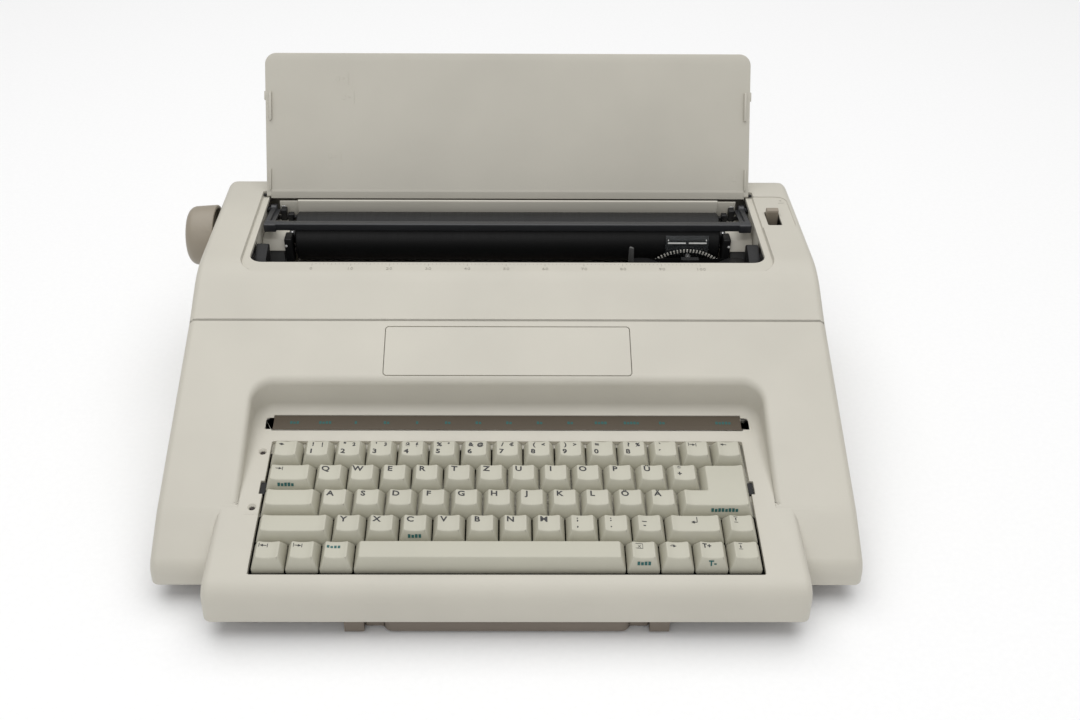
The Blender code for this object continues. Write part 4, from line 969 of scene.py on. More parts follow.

# %% Skirt, ears, pins and clip ribs
skirt = slab(
    [(lid_root - 1.6, lid_under, 0), (lid_root + 0.1, lid_under - 0.1, 0.3),
     (HINGE_Y + 2.4, lid_under + 1.0, 0.3),
     (HINGE_Y + 2.4, DECK_TOP - 0.2, 0.4), (HINGE_Y + 1.2, DECK_TOP, 0.5), (lid_root - 1.6, DECK_TOP, 0)],
    -OPENING_HALF + 1.2, OPENING_HALF - 1.2, "x", 4)
lid_parts, pins = [plate, skirt], []
for side in (-1, 1):
    ear = slab([(HINGE_Y - 4, lid_under + 0.1, 0.3), (HINGE_Y + 1.1, lid_under + 0.1, 0.9),
                (HINGE_Y + 1.1, DECK_TOP - 0.1, 0.9), (HINGE_Y - 4, DECK_TOP - 0.1, 0.3)],
               *span(side, OPENING_HALF - 1.4, LID_HALF), "x", 4)
    lid_parts.append(ear)
    pins.append(rod((HINGE_Y, HINGE_Z), 1.05, *span(side, LID_HALF - 0.5, RECESS_HALF - 0.1), "x", 16, 0.3))
    clip_y = lid_tip + 27.0
    lid_parts.append(brick(span(side, LID_HALF - 4.4, LID_HALF - 2.6), (clip_y, clip_y + 20.0),
                           (lid_under - 1.9, lid_under + 0.5), 0.5, 2))
    lid_parts.append(brick(span(side, LID_HALF - 3.4, LID_HALF + 0.9), (clip_y - 0.4, clip_y + 6.0),
                           (lid_under + 0.05, lid_under + 1.6), 0.45, 2))
    lid_parts.append(brick(span(side, LID_HALF - 3.4, LID_HALF - 2.2), (lid_root - 16.0, lid_root - 1.0),
                           (lid_under - 1.6, lid_under + 0.4), 0.4, 2))
finish("hinge_pins", join(*pins), black_plastic, "paper_support", places=LID_OPEN)
print("clip ribs from", round(clip_y, 1))

# %% Guide marks: a few short lines and arrowheads on the inner face
guide_marks = []
for x, y, length in ((-113.0, 50.0, 9.0), (-109.0, 63.0, 9.0), (-119.0, 104.0, 8.0)):
    guide_marks.append(at(bar((x - 0.15, x + 0.15), (y - length / 2, y + length / 2), 0.3), z=lid_under))
    arrow = glyph(">", 4.2, 0.3)
    bmesh.ops.scale(arrow, verts=arrow.verts, vec=(-1, 1, 1))
    bmesh.ops.rotate(arrow, verts=arrow.verts, cent=(0, 0, 0), matrix=Matrix.Rotation(pi, 3, "Z"))
    bmesh.ops.recalc_face_normals(arrow, faces=arrow.faces)
    guide_marks.append(at(arrow, x - 3.6, y, lid_under))
    guide_marks.append(at(bar((x - 8.6, x - 6.4), (y - 1.6, y + 1.6), 0.3), z=lid_under))
guide_marks.append(at(bar((160.0, 163.0), (lid_root - 12.0, lid_root - 8.0), 0.3), z=lid_under))
lid_parts += guide_marks
finish("lid", join(*lid_parts), lid_plastic, "paper_support", replaces=["paper_support"], smooth=32,
       places=LID_OPEN)

# %% [markdown]
# ## Platen and knob
#
# The platen is a rubber sleeve on a steel shaft, ground true, with a chamfer and a plastic hub at each end.
# The knob on its left end is hollow: a thin cup with a well rounded outer end, ribs inside and a dark gap
# against the case. Both are turned shapes, so a spun profile gives them exactly, and only the ribs are
# added.

# %% The roller and its hubs
cy, cz = PLATEN.y, PLATEN.z
sleeve = turned(
    [(0, -PLATEN_HALF + 1.5), (PLATEN_RADIUS - 1.6, -PLATEN_HALF + 1.5), (PLATEN_RADIUS - 1.6, -PLATEN_HALF),
     (PLATEN_RADIUS - 0.7, -PLATEN_HALF), (PLATEN_RADIUS, -PLATEN_HALF + 0.8),
     (PLATEN_RADIUS, PLATEN_HALF - 0.8),
     (PLATEN_RADIUS - 0.7, PLATEN_HALF), (PLATEN_RADIUS - 1.6, PLATEN_HALF),
     (PLATEN_RADIUS - 1.6, PLATEN_HALF - 1.5),
     (0, PLATEN_HALF - 1.5)],
    (cy, cz), "x", 96)
finish("roller", sleeve, ground_rubber, "platen", ["platen_roller"])
hubs = []
for side in (-1, 1):
    near, far = PLATEN_HALF - 1.2, PLATEN_HALF + 1.6
    profile = [(0, near), (9.0, near), (9.0, far - 1.0), (8.2, far), (5.0, far), (5.0, far + 2.0),
               (0, far + 2.0)]
    hubs.append(turned([(r, side * t) for r, t in profile], (cy, cz), "x", 32))
    for k in range(6):
        angle = k * pi / 3
        spoke = brick((near, far - 0.6), (9.0, 14.6), (-1.0, 1.0), 0.2, 1)
        spoke.transform(Matrix.Scale(side, 4, (1, 0, 0)))
        tilted(spoke, (0, cy, cz), angle)
        bmesh.ops.recalc_face_normals(spoke, faces=spoke.faces)
        hubs.append(spoke)
finish("roller_hubs", join(*hubs), black_plastic, "platen")

# %% The knob
knob_low, knob_high = workshop_box("platen_knob")
KNOB_RADIUS = (knob_high.y - knob_low.y) / 2
out, inn = knob_low.x + 3.3, knob_high.x
angles = [k * pi / 16 for k in reversed(range(9))]
arc = [(KNOB_RADIUS - 0.9 - 6.0 * (1 - cos(a)), out + 6.0 * (1 - sin(a))) for a in angles]
profile = [(0, out + 0.9), (6.0, out + 0.7), (KNOB_RADIUS - 9.5, out + 0.1)] + arc
profile += [(KNOB_RADIUS, inn - 0.8), (KNOB_RADIUS - 0.4, inn - 0.2), (KNOB_RADIUS - 1.8, inn),
            (KNOB_RADIUS - 2.2, inn - 0.6), (KNOB_RADIUS - 2.6, inn - 9.0), (7.2, inn - 9.4),
            (7.2, inn - 0.6),
            (4.4, inn - 0.4), (4.4, inn - 9.9), (0, inn - 10.0)]
knob = turned(profile, (cy, cz), "x", 96)
knob_ribs = []
for k in range(8):
    rib = brick((inn - 9.6, inn - 3.0), (7.0, KNOB_RADIUS - 2.2), (-0.6, 0.6), 0.15, 1)
    knob_ribs.append(tilted(rib, (0, cy, cz), k * pi / 4))
finish("knob", join(knob, *knob_ribs), taupe_plastic, "platen", ["platen_knob"], smooth=40)

# %% [markdown]
# ## The bail
#
# The bail presses the sheet to the platen: a square bar in satin black paint between two arms that swing
# about pins in the side frames. On the real machine each corner is a moulded block that the bar plugs into,
# so the bar, the blocks and the arms are separate shapes with their own rounding, joined into one mesh.

# %% Bar, corner blocks, arms and pins
bail_high = workshop_box("bail")[1]
PIVOT = (PLATEN.y + 16.7, DECK_TOP - 9.7)
BAIL_ANGLE = radians(131.0)
BAR = (PLATEN.y + (PLATEN_RADIUS + 4.2) * cos(BAIL_ANGLE), PLATEN.z + (PLATEN_RADIUS + 4.2) * sin(BAIL_ANGLE))
BAIL_HALF = OPENING_HALF - 1.6
tilt = atan2(PIVOT[1] - BAR[1], PIVOT[0] - BAR[0])
square = [(centre - 2.6, centre + 2.6) for centre in BAR]
bail_parts = [brick((-BAIL_HALF + 3, BAIL_HALF - 3), *square, 0.7, 3)]
for side in (-1, 1):
    bail_parts.append(brick(span(side, BAIL_HALF - 8.5, BAIL_HALF), (BAR[0] - 3.6, BAR[0] + 3.4),
                            (BAR[1] - 3.3, BAR[1] + 2.7), 0.8, 3))
    run = (Vector(PIVOT) - Vector(BAR)).length
    arm = brick(span(side, BAIL_HALF - 3.6, BAIL_HALF), (0.0, run), (-2.5, 2.5), 0.8, 3)
    web = brick(span(side, BAIL_HALF - 6.6, BAIL_HALF - 3.2), (2.0, run - 1.0), (-0.8, 0.8), 0.3, 2)
    bail_parts += [tilted(arm, (0, *BAR), tilt), tilted(web, (0, *BAR), tilt)]
    bail_parts.append(rod(PIVOT, 3.6, *span(side, BAIL_HALF - 4.0, BAIL_HALF + 0.4), "x", 24, 0.5))
    bail_parts.append(rod(PIVOT, 2.0, *span(side, BAIL_HALF - 1, bail_high.x), "x", 16, 0.4))
finish("paper_bail", join(*bail_parts), bail_paint, "bail", ["bail"], smooth=40)

# %% [markdown]
# ## Behind and below the platen
#
# The paper pan wraps under the roller and rises behind it as a pale wall with a rolled lip. A swept strip
# of sheet is the natural way to make it: one curved line spun about the platen's axis, pulled upwards, then
# given thickness. Dark guards close the front corners of the opening, and a black tray hides the works
# under the roller; its black is painted shade for the dark space there.

# %% The paper pan
pan_high = workshop_box("paper_pan")[1]
PAN_IN = PLATEN_RADIUS + 2.7
strip = bmesh.new()
first = strip.verts.new((-PLATEN_HALF - 2, cy + PAN_IN * cos(radians(-125)),
                         cz + PAN_IN * sin(radians(-125))))
bmesh.ops.spin(strip, geom=[first], cent=(0, cy, cz), axis=(1, 0, 0), angle=radians(125), steps=24,
               use_merge=False)
last = max(strip.verts, key=lambda v: v.co.z)
for rise in ((0, 0, pan_high.z - cz + 0.6), (0, 0.25, 0.8), (0, 0.75, 0.3)):
    made = bmesh.ops.extrude_vert_indiv(strip, verts=[last])
    last = made["verts"][0]
    last.co += Vector(rise)
pull(strip, bmesh.ops.extrude_edge_only(strip, edges=strip.edges[:]), (2 * PLATEN_HALF + 4, 0, 0))
bmesh.ops.recalc_face_normals(strip, faces=strip.faces)
bmesh.ops.solidify(strip, geom=strip.faces[:], thickness=-1.0)
wings = []
for side in (-1, 1):
    wings.append(brick(span(side, PLATEN_HALF + 1.9, pan_high.x), (cy + PAN_IN, cy + PAN_IN + 1.1),
                       (cz + 4, pan_high.z + 1.7), 0.4, 2))
for k in range(-6, 7):
    x = k * 22.0
    wings.append(brick((x - 0.7, x + 0.7), (cy + PAN_IN - 0.5, cy + PAN_IN + 0.3),
                       (cz + 2.0, pan_high.z - 2.6), 0.25, 1))
finish("pan", join(strip, *wings), shell_plastic, "machine", ["paper_pan"], smooth=40)

# %% Guards in the corners, the tray, and the feed levers behind the bail
guards = []
for side in (-1, 1):
    guard = slab([(OPENING_FRONT + 3.0, 103.0, 1), (OPENING_FRONT + 14.0, 109.5, 3),
                  (OPENING_FRONT + 27.0, 113.0, 2),
                  (OPENING_FRONT + 30.0, 111.0, 1), (OPENING_FRONT + 27.0, 95.8, 1),
                  (OPENING_FRONT + 3.0, 95.8, 1)],
                 *span(side, OPENING_HALF - 9.0, OPENING_HALF - 0.8), "x", 4)
    guards.append(soften(guard, 0.8, 2, angle=50))
    for x, y, z, deep, tall in ((9.0, 119.0, 102.4, 6.0, 8.6), (14.0, 118.0, 102.4, 5.0, 5.6)):
        across = span(side, OPENING_HALF - x, OPENING_HALF - x - 4.2)
        guards.append(brick(across, (y, y + deep), (z, z + tall), 0.7, 2))
    guards.append(rod((121.0, 104.5), 1.4, *span(side, OPENING_HALF - 20.0, OPENING_HALF - 6.0), "x", 16,
                      0.3))
finish("corner_guards", join(*guards), black_plastic, "machine", smooth=35)
# A black plate just behind the opening's front rim: painted shade for the dark space under the roller.
tray = brick((-168.0, 84.0), (44.2, 47.4), (70.0, 88.0), 0.6, 2)
finish("painted_shade_tray", tray, black_plastic, "machine")

# %% The pale shelves at both ends of the roller, with their end blocks
shelves, end_blocks, panels, dots = [], [], [], []
for side in (-1, 1):
    shelf = slab([(90.0, 95.0, 0), (94.5, 101.6, 1.5), (104.0, 102.6, 2), (128.6, 102.6, 0),
                  (128.6, 101.2, 0),
                  (104.0, 101.2, 0), (95.5, 100.2, 1), (91.4, 94.2, 0)],
                 *span(side, PLATEN_HALF + 5.2, OPENING_HALF + 0.6), "x", 3)
    shelves.append(soften(shelf, 0.3, 2, angle=50))
    liner = span(side, OPENING_HALF + 0.8, OPENING_HALF + 2.4)
    shelves.append(brick(liner, (77.5, 120.0), (95.8, 112.0), 0.5, 2))
    end_x = span(side, PLATEN_HALF + 1.9, PLATEN_HALF + 7.2)
    end_blocks.append(brick(end_x, (89.6, 100.0), (84.0, 104.4), 0.8, 3))
    dots.append(rod((side * (PLATEN_HALF + 6.0), 99.0), 0.9, 89.3, 90.0, "y", 16, 0.2))
    panels.append(brick(span(side, PLATEN_HALF + 8.0, OPENING_HALF - 1.0), (91.0, 92.4), (62.0, 94.8), 0.4,
                        2))
finish("end_shelves", join(*shelves), shell_plastic, "machine", smooth=40)
finish("end_blocks", join(*end_blocks), black_plastic, "machine")
finish("end_block_dots", join(*dots), white_ink, "machine")
finish("end_panels", join(*panels), grey_plastic, "machine")
springs = []
for side in (-1, 1):
    across = span(side, OPENING_HALF - 12.0, OPENING_HALF - 8.7)
    springs.append(brick(across, (125.5, 126.8), (101.0, 111.0), 0.3, 2))
finish("feed_springs", join(*springs), zinc_sheet, "machine")

# %% [markdown]
# ## Key caps
#
# A cap is a wedge with four sloping sides, a short skirt, and a top that is dished from side to side so a
# finger finds its middle. Every cap follows one recipe: a face is extruded upwards twice and drawn in, its
# corners are rounded, its top is cut into strips that sink along a cylinder, and its rim is eased. One
# recipe keeps all sixty-two caps alike, as one mould does.

# %% Rows, units and places
KEY_GAP = 0.9
KEY_HEIGHT = 7.4
KEY_SKIRT = 3.0
INSET_SIDE = 2.9
INSET_FRONT = 3.6
INSET_BACK = 3.4
DISH = 1.0
HOME_ROW = ["a", "s", "d", "f", "g", "h", "j", "k", "l", "oe", "ae"]
ROWS = {
    1: [("number_bank", 0.0, [1] * 15)],
    2: [("key_tab", 0.0, [1.5]), ("upper_bank", 1.5, [1] * 12)],
    3: [("key_caps_lock", 0.0, [1.75])] + [(f"key_{c}", 1.75 + i, [1]) for i, c in enumerate(HOME_ROW)],
    4: [("key_shift_left", 0.0, [2.25]), ("lower_bank", 2.25, [1] * 10), ("key_shift_right", 12.25, [1.75]),
        ("key_line_up", 14.0, [1])],
    5: [("bottom_left_bank", 0.0, [1] * 3), ("key_space", 3.0, [8]), ("bottom_right_bank", 11.0, [1] * 4)],
}


def row_along(row):
    """How far up the slope the middle of a row lies."""
    return 2.3 + (KEYBOARD_ROWS - row + 0.5) * KEY_PITCH


def unit_x(unit):
    return (unit - KEYBOARD_UNITS / 2) * KEY_PITCH


print("rows at", [round(row_along(r), 1) for r in ROWS])

# %% The dished cap
def dish_depth(x, low, high):
    """How far a top has sunk at x: a full dish on a narrow cap, raised ends on a wide one."""
    half = (high - low) / 2
    reach = min(half, 6.2)
    from_end = min(abs(x - low), abs(high - x), half)
    slope = max(0.0, 1.0 - from_end / reach)
    return DISH * (1.0 - slope * slope)


def cap(corners, flat=False):
    """A cap over (x, along, x inset, along inset) corners, drawn flat; returns it with its top's two ends."""
    bm = bmesh.new()
    ring = [bm.verts.new((x, s, -KEY_SKIRT)) for x, s, _, _ in corners]
    top = bm.faces.new(ring)
    for rise, draw in ((KEY_SKIRT, 0.0), (KEY_HEIGHT, 1.0)):
        made = bmesh.ops.extrude_face_region(bm, geom=[top])
        if draw:
            bmesh.ops.delete(bm, geom=[top], context="FACES_ONLY")
        top = next(g for g in made["geom"] if isinstance(g, bmesh.types.BMFace))
        for v in top.verts:
            near = min(corners, key=lambda c: (c[0] - v.co.x) ** 2 + (c[1] - v.co.y) ** 2)
            v.co += Vector((near[2] * draw, near[3] * draw, rise))
    bmesh.ops.recalc_face_normals(bm, faces=bm.faces)
    posts = [e for e in bm.edges if abs(e.verts[0].co.z - e.verts[1].co.z) > 1]
    round_edges(bm, posts, 1.0, 3)
    low = min(v.co.x for v in bm.verts if v.co.z > KEY_HEIGHT - 0.1)
    high = max(v.co.x for v in bm.verts if v.co.z > KEY_HEIGHT - 0.1)
    if not flat:
        reach = min((high - low) / 2, 6.2)
        for k in range(6):
            for x in {low + reach * (k + 0.5) / 6, high - reach * (k + 0.5) / 6}:
                slice_at(bm, (x, 0, 0), (1, 0, 0))
        for v in bm.verts:
            if v.co.z > KEY_HEIGHT - 0.1:
                v.co.z -= dish_depth(v.co.x, low, high)
    rim = [e for e in bm.edges if len(e.link_faces) == 2
           and max(f.normal.z for f in e.link_faces) > 0.9 > 0.7 > min(f.normal.z for f in e.link_faces)
           and min(v.co.z for v in e.verts) > 1.0]
    bm.normal_update()
    rim = [e for e in rim if e.calc_face_angle(0) > radians(30)]
    round_edges(bm, rim, 0.55, 3)
    return bm, low, high


def stem(x, along):
    return brick((x - 2.5, x + 2.5), (along - 2.5, along + 2.5), (-KEY_SKIRT - 4.0, -KEY_SKIRT + 0.2), 0.3, 1)


def cap_corners(row, first, width):
    low, high = unit_x(first) + KEY_GAP / 2, unit_x(first + width) - KEY_GAP / 2
    near = row_along(row) - KEY_PITCH / 2 + KEY_GAP / 2
    far = row_along(row) + KEY_PITCH / 2 - KEY_GAP / 2
    return [(low, near, INSET_SIDE, INSET_FRONT), (high, near, -INSET_SIDE, INSET_FRONT),
            (high, far, -INSET_SIDE, -INSET_BACK), (low, far, INSET_SIDE, -INSET_BACK)]


print("one cap recipe")

# %% Every cap, one piece for each node of the frame
tops = {}
bodies = {node: body for body, nodes in frame["record"]["behaviour"]["bodies"].items() for node in nodes}
for row, groups in ROWS.items():
    for node, first, widths in groups:
        parts = []
        unit = first
        for width in widths:
            shape, low, high = cap(cap_corners(row, unit, width), flat=node == "key_space")
            tops[(row, round(unit, 2))] = (low, high, node)
            parts.append(shape)
            parts.append(stem(unit_x(unit + width / 2), row_along(row)))
            unit += width
        caps = to_keyboard(join(*parts))
        finish("caps_" + node, caps, cap_plastic, bodies[node], [node], smooth=38)
print(len(tops), "caps")

# %% The return key is a turned L over two rows
right = unit_x(15.0) - KEY_GAP / 2
upper_left, lower_left = unit_x(13.5) + KEY_GAP / 2, unit_x(12.75) + KEY_GAP / 2
near = row_along(3) - KEY_PITCH / 2 + KEY_GAP / 2
step = row_along(3) + KEY_PITCH / 2 - KEY_GAP / 2
far = row_along(2) + KEY_PITCH / 2 - KEY_GAP / 2
shape, low, high = cap([
    (lower_left, near, INSET_SIDE, INSET_FRONT), (right, near, -INSET_SIDE, INSET_FRONT),
    (right, far, -INSET_SIDE, -INSET_BACK), (upper_left, far, INSET_SIDE, -INSET_BACK),
    (upper_left, step, INSET_SIDE, -INSET_BACK), (lower_left, step, INSET_SIDE, -INSET_BACK)])
tops[(3, 12.75)] = (low, high, "key_return")
finish("caps_key_return", to_keyboard(shape), cap_plastic, bodies["key_return"], ["key_return"],
       smooth=38)

# %% [markdown]
# ## Legends
#
# The legends are printed in dark ink in the upper left of each top, with second functions in teal on a few
# fronts. They could be painted by a texture, but a printed character has its own edge and its own gloss.
# Each one is a closed solid a twentieth of a millimetre proud, bent to the dish of its own cap. Words are
# left as plain blocks.

# %% Signs that are drawn rather than typed
def arrow(direction, length=4.0, head=1.5, stroke=0.42):
    """A straight arrow along X; direction is -1 for left and 1 for right."""
    shaft = bar((-length / 2, length / 2), (-stroke / 2, stroke / 2))
    tip = bmesh.new()
    corners = ((length / 2 + 0.4, 0), (length / 2 - head, head * 0.62), (length / 2 - head, -head * 0.62))
    tip.faces.new([tip.verts.new((x, y, -0.06)) for x, y in corners])
    pull(tip, bmesh.ops.extrude_face_region(tip, geom=tip.faces[:]), (0, 0, 0.12))
    bmesh.ops.recalc_face_normals(tip, faces=tip.faces)
    both = join(shaft, tip)
    if direction < 0:
        bmesh.ops.rotate(both, verts=both.verts, cent=(0, 0, 0), matrix=Matrix.Rotation(pi, 3, "Z"))
    return both


def turned_up(bm, degrees=90):
    bmesh.ops.rotate(bm, verts=bm.verts, cent=(0, 0, 0), matrix=Matrix.Rotation(radians(degrees), 3, "Z"))
    return bm


def blocks(count, height=2.2):
    """A row of small blocks that stands where a word would be."""
    left = -count
    return join(*[bar((left + i * 2.0 + 0.25, left + i * 2.0 + 1.7),
                      (-height / 2, height / 2 - (0.4 if i % 3 == 1 else 0.0))) for i in range(count)])


def stop_arrow(direction):
    return join(arrow(direction, 3.4), at(bar((-0.2, 0.2), (-1.3, 1.3)), direction * 2.4))


def line_arrow(direction):
    """An up or down arrow between two short lines, for moving the paper."""
    return join(turned_up(arrow(1, 2.2, 1.0), 90 * direction), at(bar((-1.1, 1.1), (-0.18, 0.18)), 0, 1.9),
                at(bar((-1.1, 1.1), (-0.18, 0.18)), 0, -1.9))


def hook_arrow():
    return join(at(bar((-0.22, 0.22), (-1.6, 2.2)), 1.6), at(arrow(-1, 3.0), 0.1, -1.6))


print("drawn signs are ready")

# %% Print on a top or on a front
inks = {}


def print_on(bm, key, across, back, body_ink="dark"):
    """Lays a flat sign on the top of a cap, across from its left end and back from its rear edge."""
    low, high, node = tops[key]
    row, first = key
    far = row_along(row) + KEY_PITCH / 2 - KEY_GAP / 2 - INSET_BACK
    at(bm, low + across, far - back, 0.0)
    flat = node == "key_space"
    for v in bm.verts:
        v.co.z += KEY_HEIGHT - (0.0 if flat else dish_depth(v.co.x, low, high))
    inks.setdefault((bodies[node], body_ink), []).append(to_keyboard(bm))


def print_front(bm, key, centre=0.5, up=0.52, body_ink="teal"):
    """Lays a flat sign on the sloping front of a cap."""
    low, high, node = tops[key]
    row, first = key
    near = row_along(row) - KEY_PITCH / 2 + KEY_GAP / 2
    lean = atan2(KEY_HEIGHT, INSET_FRONT)
    bmesh.ops.rotate(bm, verts=bm.verts, cent=(0, 0, 0), matrix=Matrix.Rotation(lean, 3, "X"))
    at(bm, low + (high - low) * centre, near + INSET_FRONT * up, KEY_HEIGHT * up)
    inks.setdefault((bodies[node], body_ink), []).append(to_keyboard(bm))


LETTER = 5.1
DIGIT = 4.7
SIGN = 4.1
BOLD = 0.16
for row, first, letters in ((2, 1.5, "QWERTZUIOPÜ"), (3, 1.75, "ASDFGHJKLÖÄ"), (4, 2.25, "YXCVBNM")):
    for i, letter in enumerate(letters):
        print_on(glyph(letter, LETTER, bold=BOLD, wide=1.15), (row, round(first + i, 2)), 3.3, 3.0)
DIGIT_ROW = (("1", "!", "|"), ("2", '"', "2"), ("3", "'", "3"), ("4", "$", "§"), ("5", "%", "°"),
             ("6", "&", "@"),
             ("7", "/", "€"), ("8", "(", "<"), ("9", ")", ">"), ("0", "=", ""), ("ß", "?", "%"),
             ("´", "`", ""))
for i, (digit, shifted, third) in enumerate(DIGIT_ROW):
    key = (1, 1.0 + i)
    print_on(glyph(digit, DIGIT, bold=BOLD, wide=1.15), key, 2.6, 8.2)
    print_on(glyph(shifted, SIGN, bold=BOLD, wide=1.1), key, 3.2, 2.6)
    if third:
        print_on(glyph(third, SIGN * 0.9, bold=BOLD), key, 8.8, 2.6)
for unit, upper, lower_sign in ((9.25, ";", ","), (10.25, ":", "."), (11.25, "_", "-")):
    print_on(glyph(upper, DIGIT, bold=BOLD), (4, unit), 3.4, 2.6)
    print_on(glyph(lower_sign, DIGIT, bold=BOLD), (4, unit), 3.4, 7.0)
print_on(glyph("*", DIGIT, bold=BOLD), (2, 12.5), 3.4, 2.8)
print_on(glyph("+", DIGIT, bold=BOLD), (2, 12.5), 3.4, 6.6)
print("typed signs laid")

# %% Arrows and teal second functions
print_on(join(arrow(1, 2.6), arrow(-1, 2.6)), (1, 0.0), 3.2, 2.4)
print_on(join(stop_arrow(1), at(bar((-0.2, 0.2), (-1.3, 1.3)), -2.2)), (1, 13.0), 3.6, 2.4)
print_on(arrow(-1, 3.6), (1, 14.0), 3.6, 2.4)
print_on(stop_arrow(1), (2, 0.0), 3.9, 2.6)
print_on(line_arrow(1), (4, 14.0), 3.4, 3.0)
print_on(hook_arrow(), (3, 12.75), 3.4, 22.3)
print_on(join(stop_arrow(-1), at(bar((-0.2, 0.2), (-1.3, 1.3)), 2.2)), (5, 0.0), 3.4, 2.6)
print_on(join(stop_arrow(1), at(bar((-0.2, 0.2), (-1.3, 1.3)), -2.2)), (5, 1.0), 3.4, 2.6)
print_on(blocks(4, 1.8), (5, 2.0), 4.6, 3.6, "teal")
box_sides = (((-2, 2.2), (1.5, 1.75)), ((-2, 2.2), (-1.75, -1.5)), ((1.95, 2.2), (-1.6, 1.6)))
print_on(join(glyph("x", 3.6), *[at(bar(x, y), -0.2) for x, y in box_sides]), (5, 11.0), 4.0, 2.8)
print_on(join(arrow(1, 3.2), at(glyph("~", 3.0), 0, 1.0)), (5, 12.0), 3.8, 2.8)
print_on(glyph("T+", 4.0, bold=BOLD), (5, 13.0), 3.8, 2.8)
print_on(line_arrow(-1), (5, 14.0), 3.6, 3.0)
for key, count, centre in (((2, 0.0), 5, 0.42), ((4, 4.25), 4, 0.5), ((3, 12.75), 8, 0.62),
                           ((5, 11.0), 4, 0.5)):
    print_front(blocks(count), key, centre)
print_front(glyph("T-", 4.4, bold=BOLD), (5, 13.0), 0.5)
for (body, colour), signs in sorted(inks.items()):
    printed = join(*signs)
    finish(f"legend_{colour}_{body}", printed, {"dark": dark_ink, "teal": teal_ink}[colour], body,
           smooth=20)

# %% [markdown]
# ## Strip, badge, lamps and the small things round the keyboard
#
# A taupe strip above the keys lists their second functions, a blank plate is let into the deck, and two
# lamps look through small holes. Each is thin, so what shows is its edge: all are let in with a gap and a
# slight round.

# %% The strip with its teal blocks, and the badge plate
strip = keyboard_slab((-LEGEND_HALF, LEGEND_HALF), LEGEND_ALONG, (-1.2, 0.1), 0.3, 2)
finish("function_strip", strip, strip_plastic, "machine", ["legend_strip"], ease=0.2)
catches = []
for side in (-1, 1):
    ends = span(side, LEGEND_HALF + 0.95, LEGEND_HALF + LEGEND_END_SLOT - 0.05)
    catches.append(keyboard_slab(ends, (CATCH_ALONG[0] + 0.05, CATCH_ALONG[1] - 0.05), (-1.55, -0.6), 0.3, 2))
finish("strip_catches", join(*catches), black_plastic, "machine")
labels = []
middle = sum(LEGEND_ALONG) / 2
for k, count in enumerate((3, 4, 1, 2, 1, 2, 2, 2, 2, 2, 4, 5, 2, 0, 5)):
    if count:
        label = blocks(count, 2.2)
        labels.append(to_keyboard(at(label, unit_x(k + 0.5) + 1.0, middle, 0.1)))
finish("strip_labels", join(*labels), teal_ink, "machine", smooth=20)
badge = deck_slab((-BADGE_HALF, BADGE_HALF), (BADGE_FROM_SEAM, BADGE_FROM_SEAM + BADGE_LENGTH),
                  (-1.2, -0.05), 2.0)
finish("blank_badge", badge, shell_plastic, replaces=["badge_plate"], ease=0.25)
for name, along in LAMP_PLACES.items():
    y, z = on_keyboard(along, 0)
    dome = turned([(0, z - 5), (1.3, z - 5), (1.3, z - 1.6), (0.9, z - 1.0), (0, z - 0.8)], (LAMP_X, y),
                  "z", 20)
    finish("lens_" + name, dome, lamp_dark, "machine", [name])
lamp_marks = [to_keyboard(at(blocks(4, 1.5), LAMP_X + 0.4, 43.0, 0.03))]
finish("lamp_marks", join(*lamp_marks), shell_plastic, smooth=20)

# %% Key guides in the side notches
clips = []
for side in (-1, 1):
    x = side * (OPENING_X + 0.4)
    clips.append(keyboard_slab((x - 1.4, x + 1.4), (58.6, 67.4), (-7.0, -1.2), 0.3, 2))
finish("side_clips", join(*clips), black_plastic, "machine")

# %% [markdown]
# ## Carriage, cassette and print wheel
#
# Through the opening one sees the carriage: a black ribbon cassette, a clear card guide with white sight
# lines that hugs the roller, and the print wheel, whose spokes end in pale slugs. The wheel has ninety-six
# spokes, so each is a plain sliver of six faces and its slug another; the cassette and the guide carry the
# detail.

# %% The print wheel
wheel_low, wheel_high = workshop_box("daisy_wheel")
WX, WZ = (wheel_low.x + wheel_high.x) / 2, (wheel_low.z + wheel_high.z) / 2
WHEEL_RADIUS = (wheel_high.x - wheel_low.x) / 2
WY = wheel_high.y - 0.8
SPOKES = 96
hub = turned([(0, WY - 3.4), (6.2, WY - 3.4), (7.0, WY - 2.6), (7.0, WY - 0.6), (16.0, WY - 0.3),
              (16.0, WY + 0.6),
              (0, WY + 0.6)], (WX, WZ), "y", 48)
spokes, slugs = [], []
for k in range(SPOKES):
    turn = Matrix.Translation((WX, 0, WZ)) @ Matrix.Rotation(2 * pi * k / SPOKES, 4, "Y")
    spoke = brick((-0.35, 0.35), (WY, WY + 0.5), (15.0, WHEEL_RADIUS - 3.0), 0)
    spoke.transform(turn)
    spokes.append(spoke)
    slug = brick((-0.45, 0.45), (WY, WY + 0.8), (WHEEL_RADIUS - 2.4, WHEEL_RADIUS - 0.4), 0)
    slug.transform(turn)
    slugs.append(slug)
finish("print_wheel", join(hub, *spokes), black_plastic, "daisy_wheel", ["daisy_wheel"])
finish("wheel_slugs", join(*slugs), nylon, "daisy_wheel")

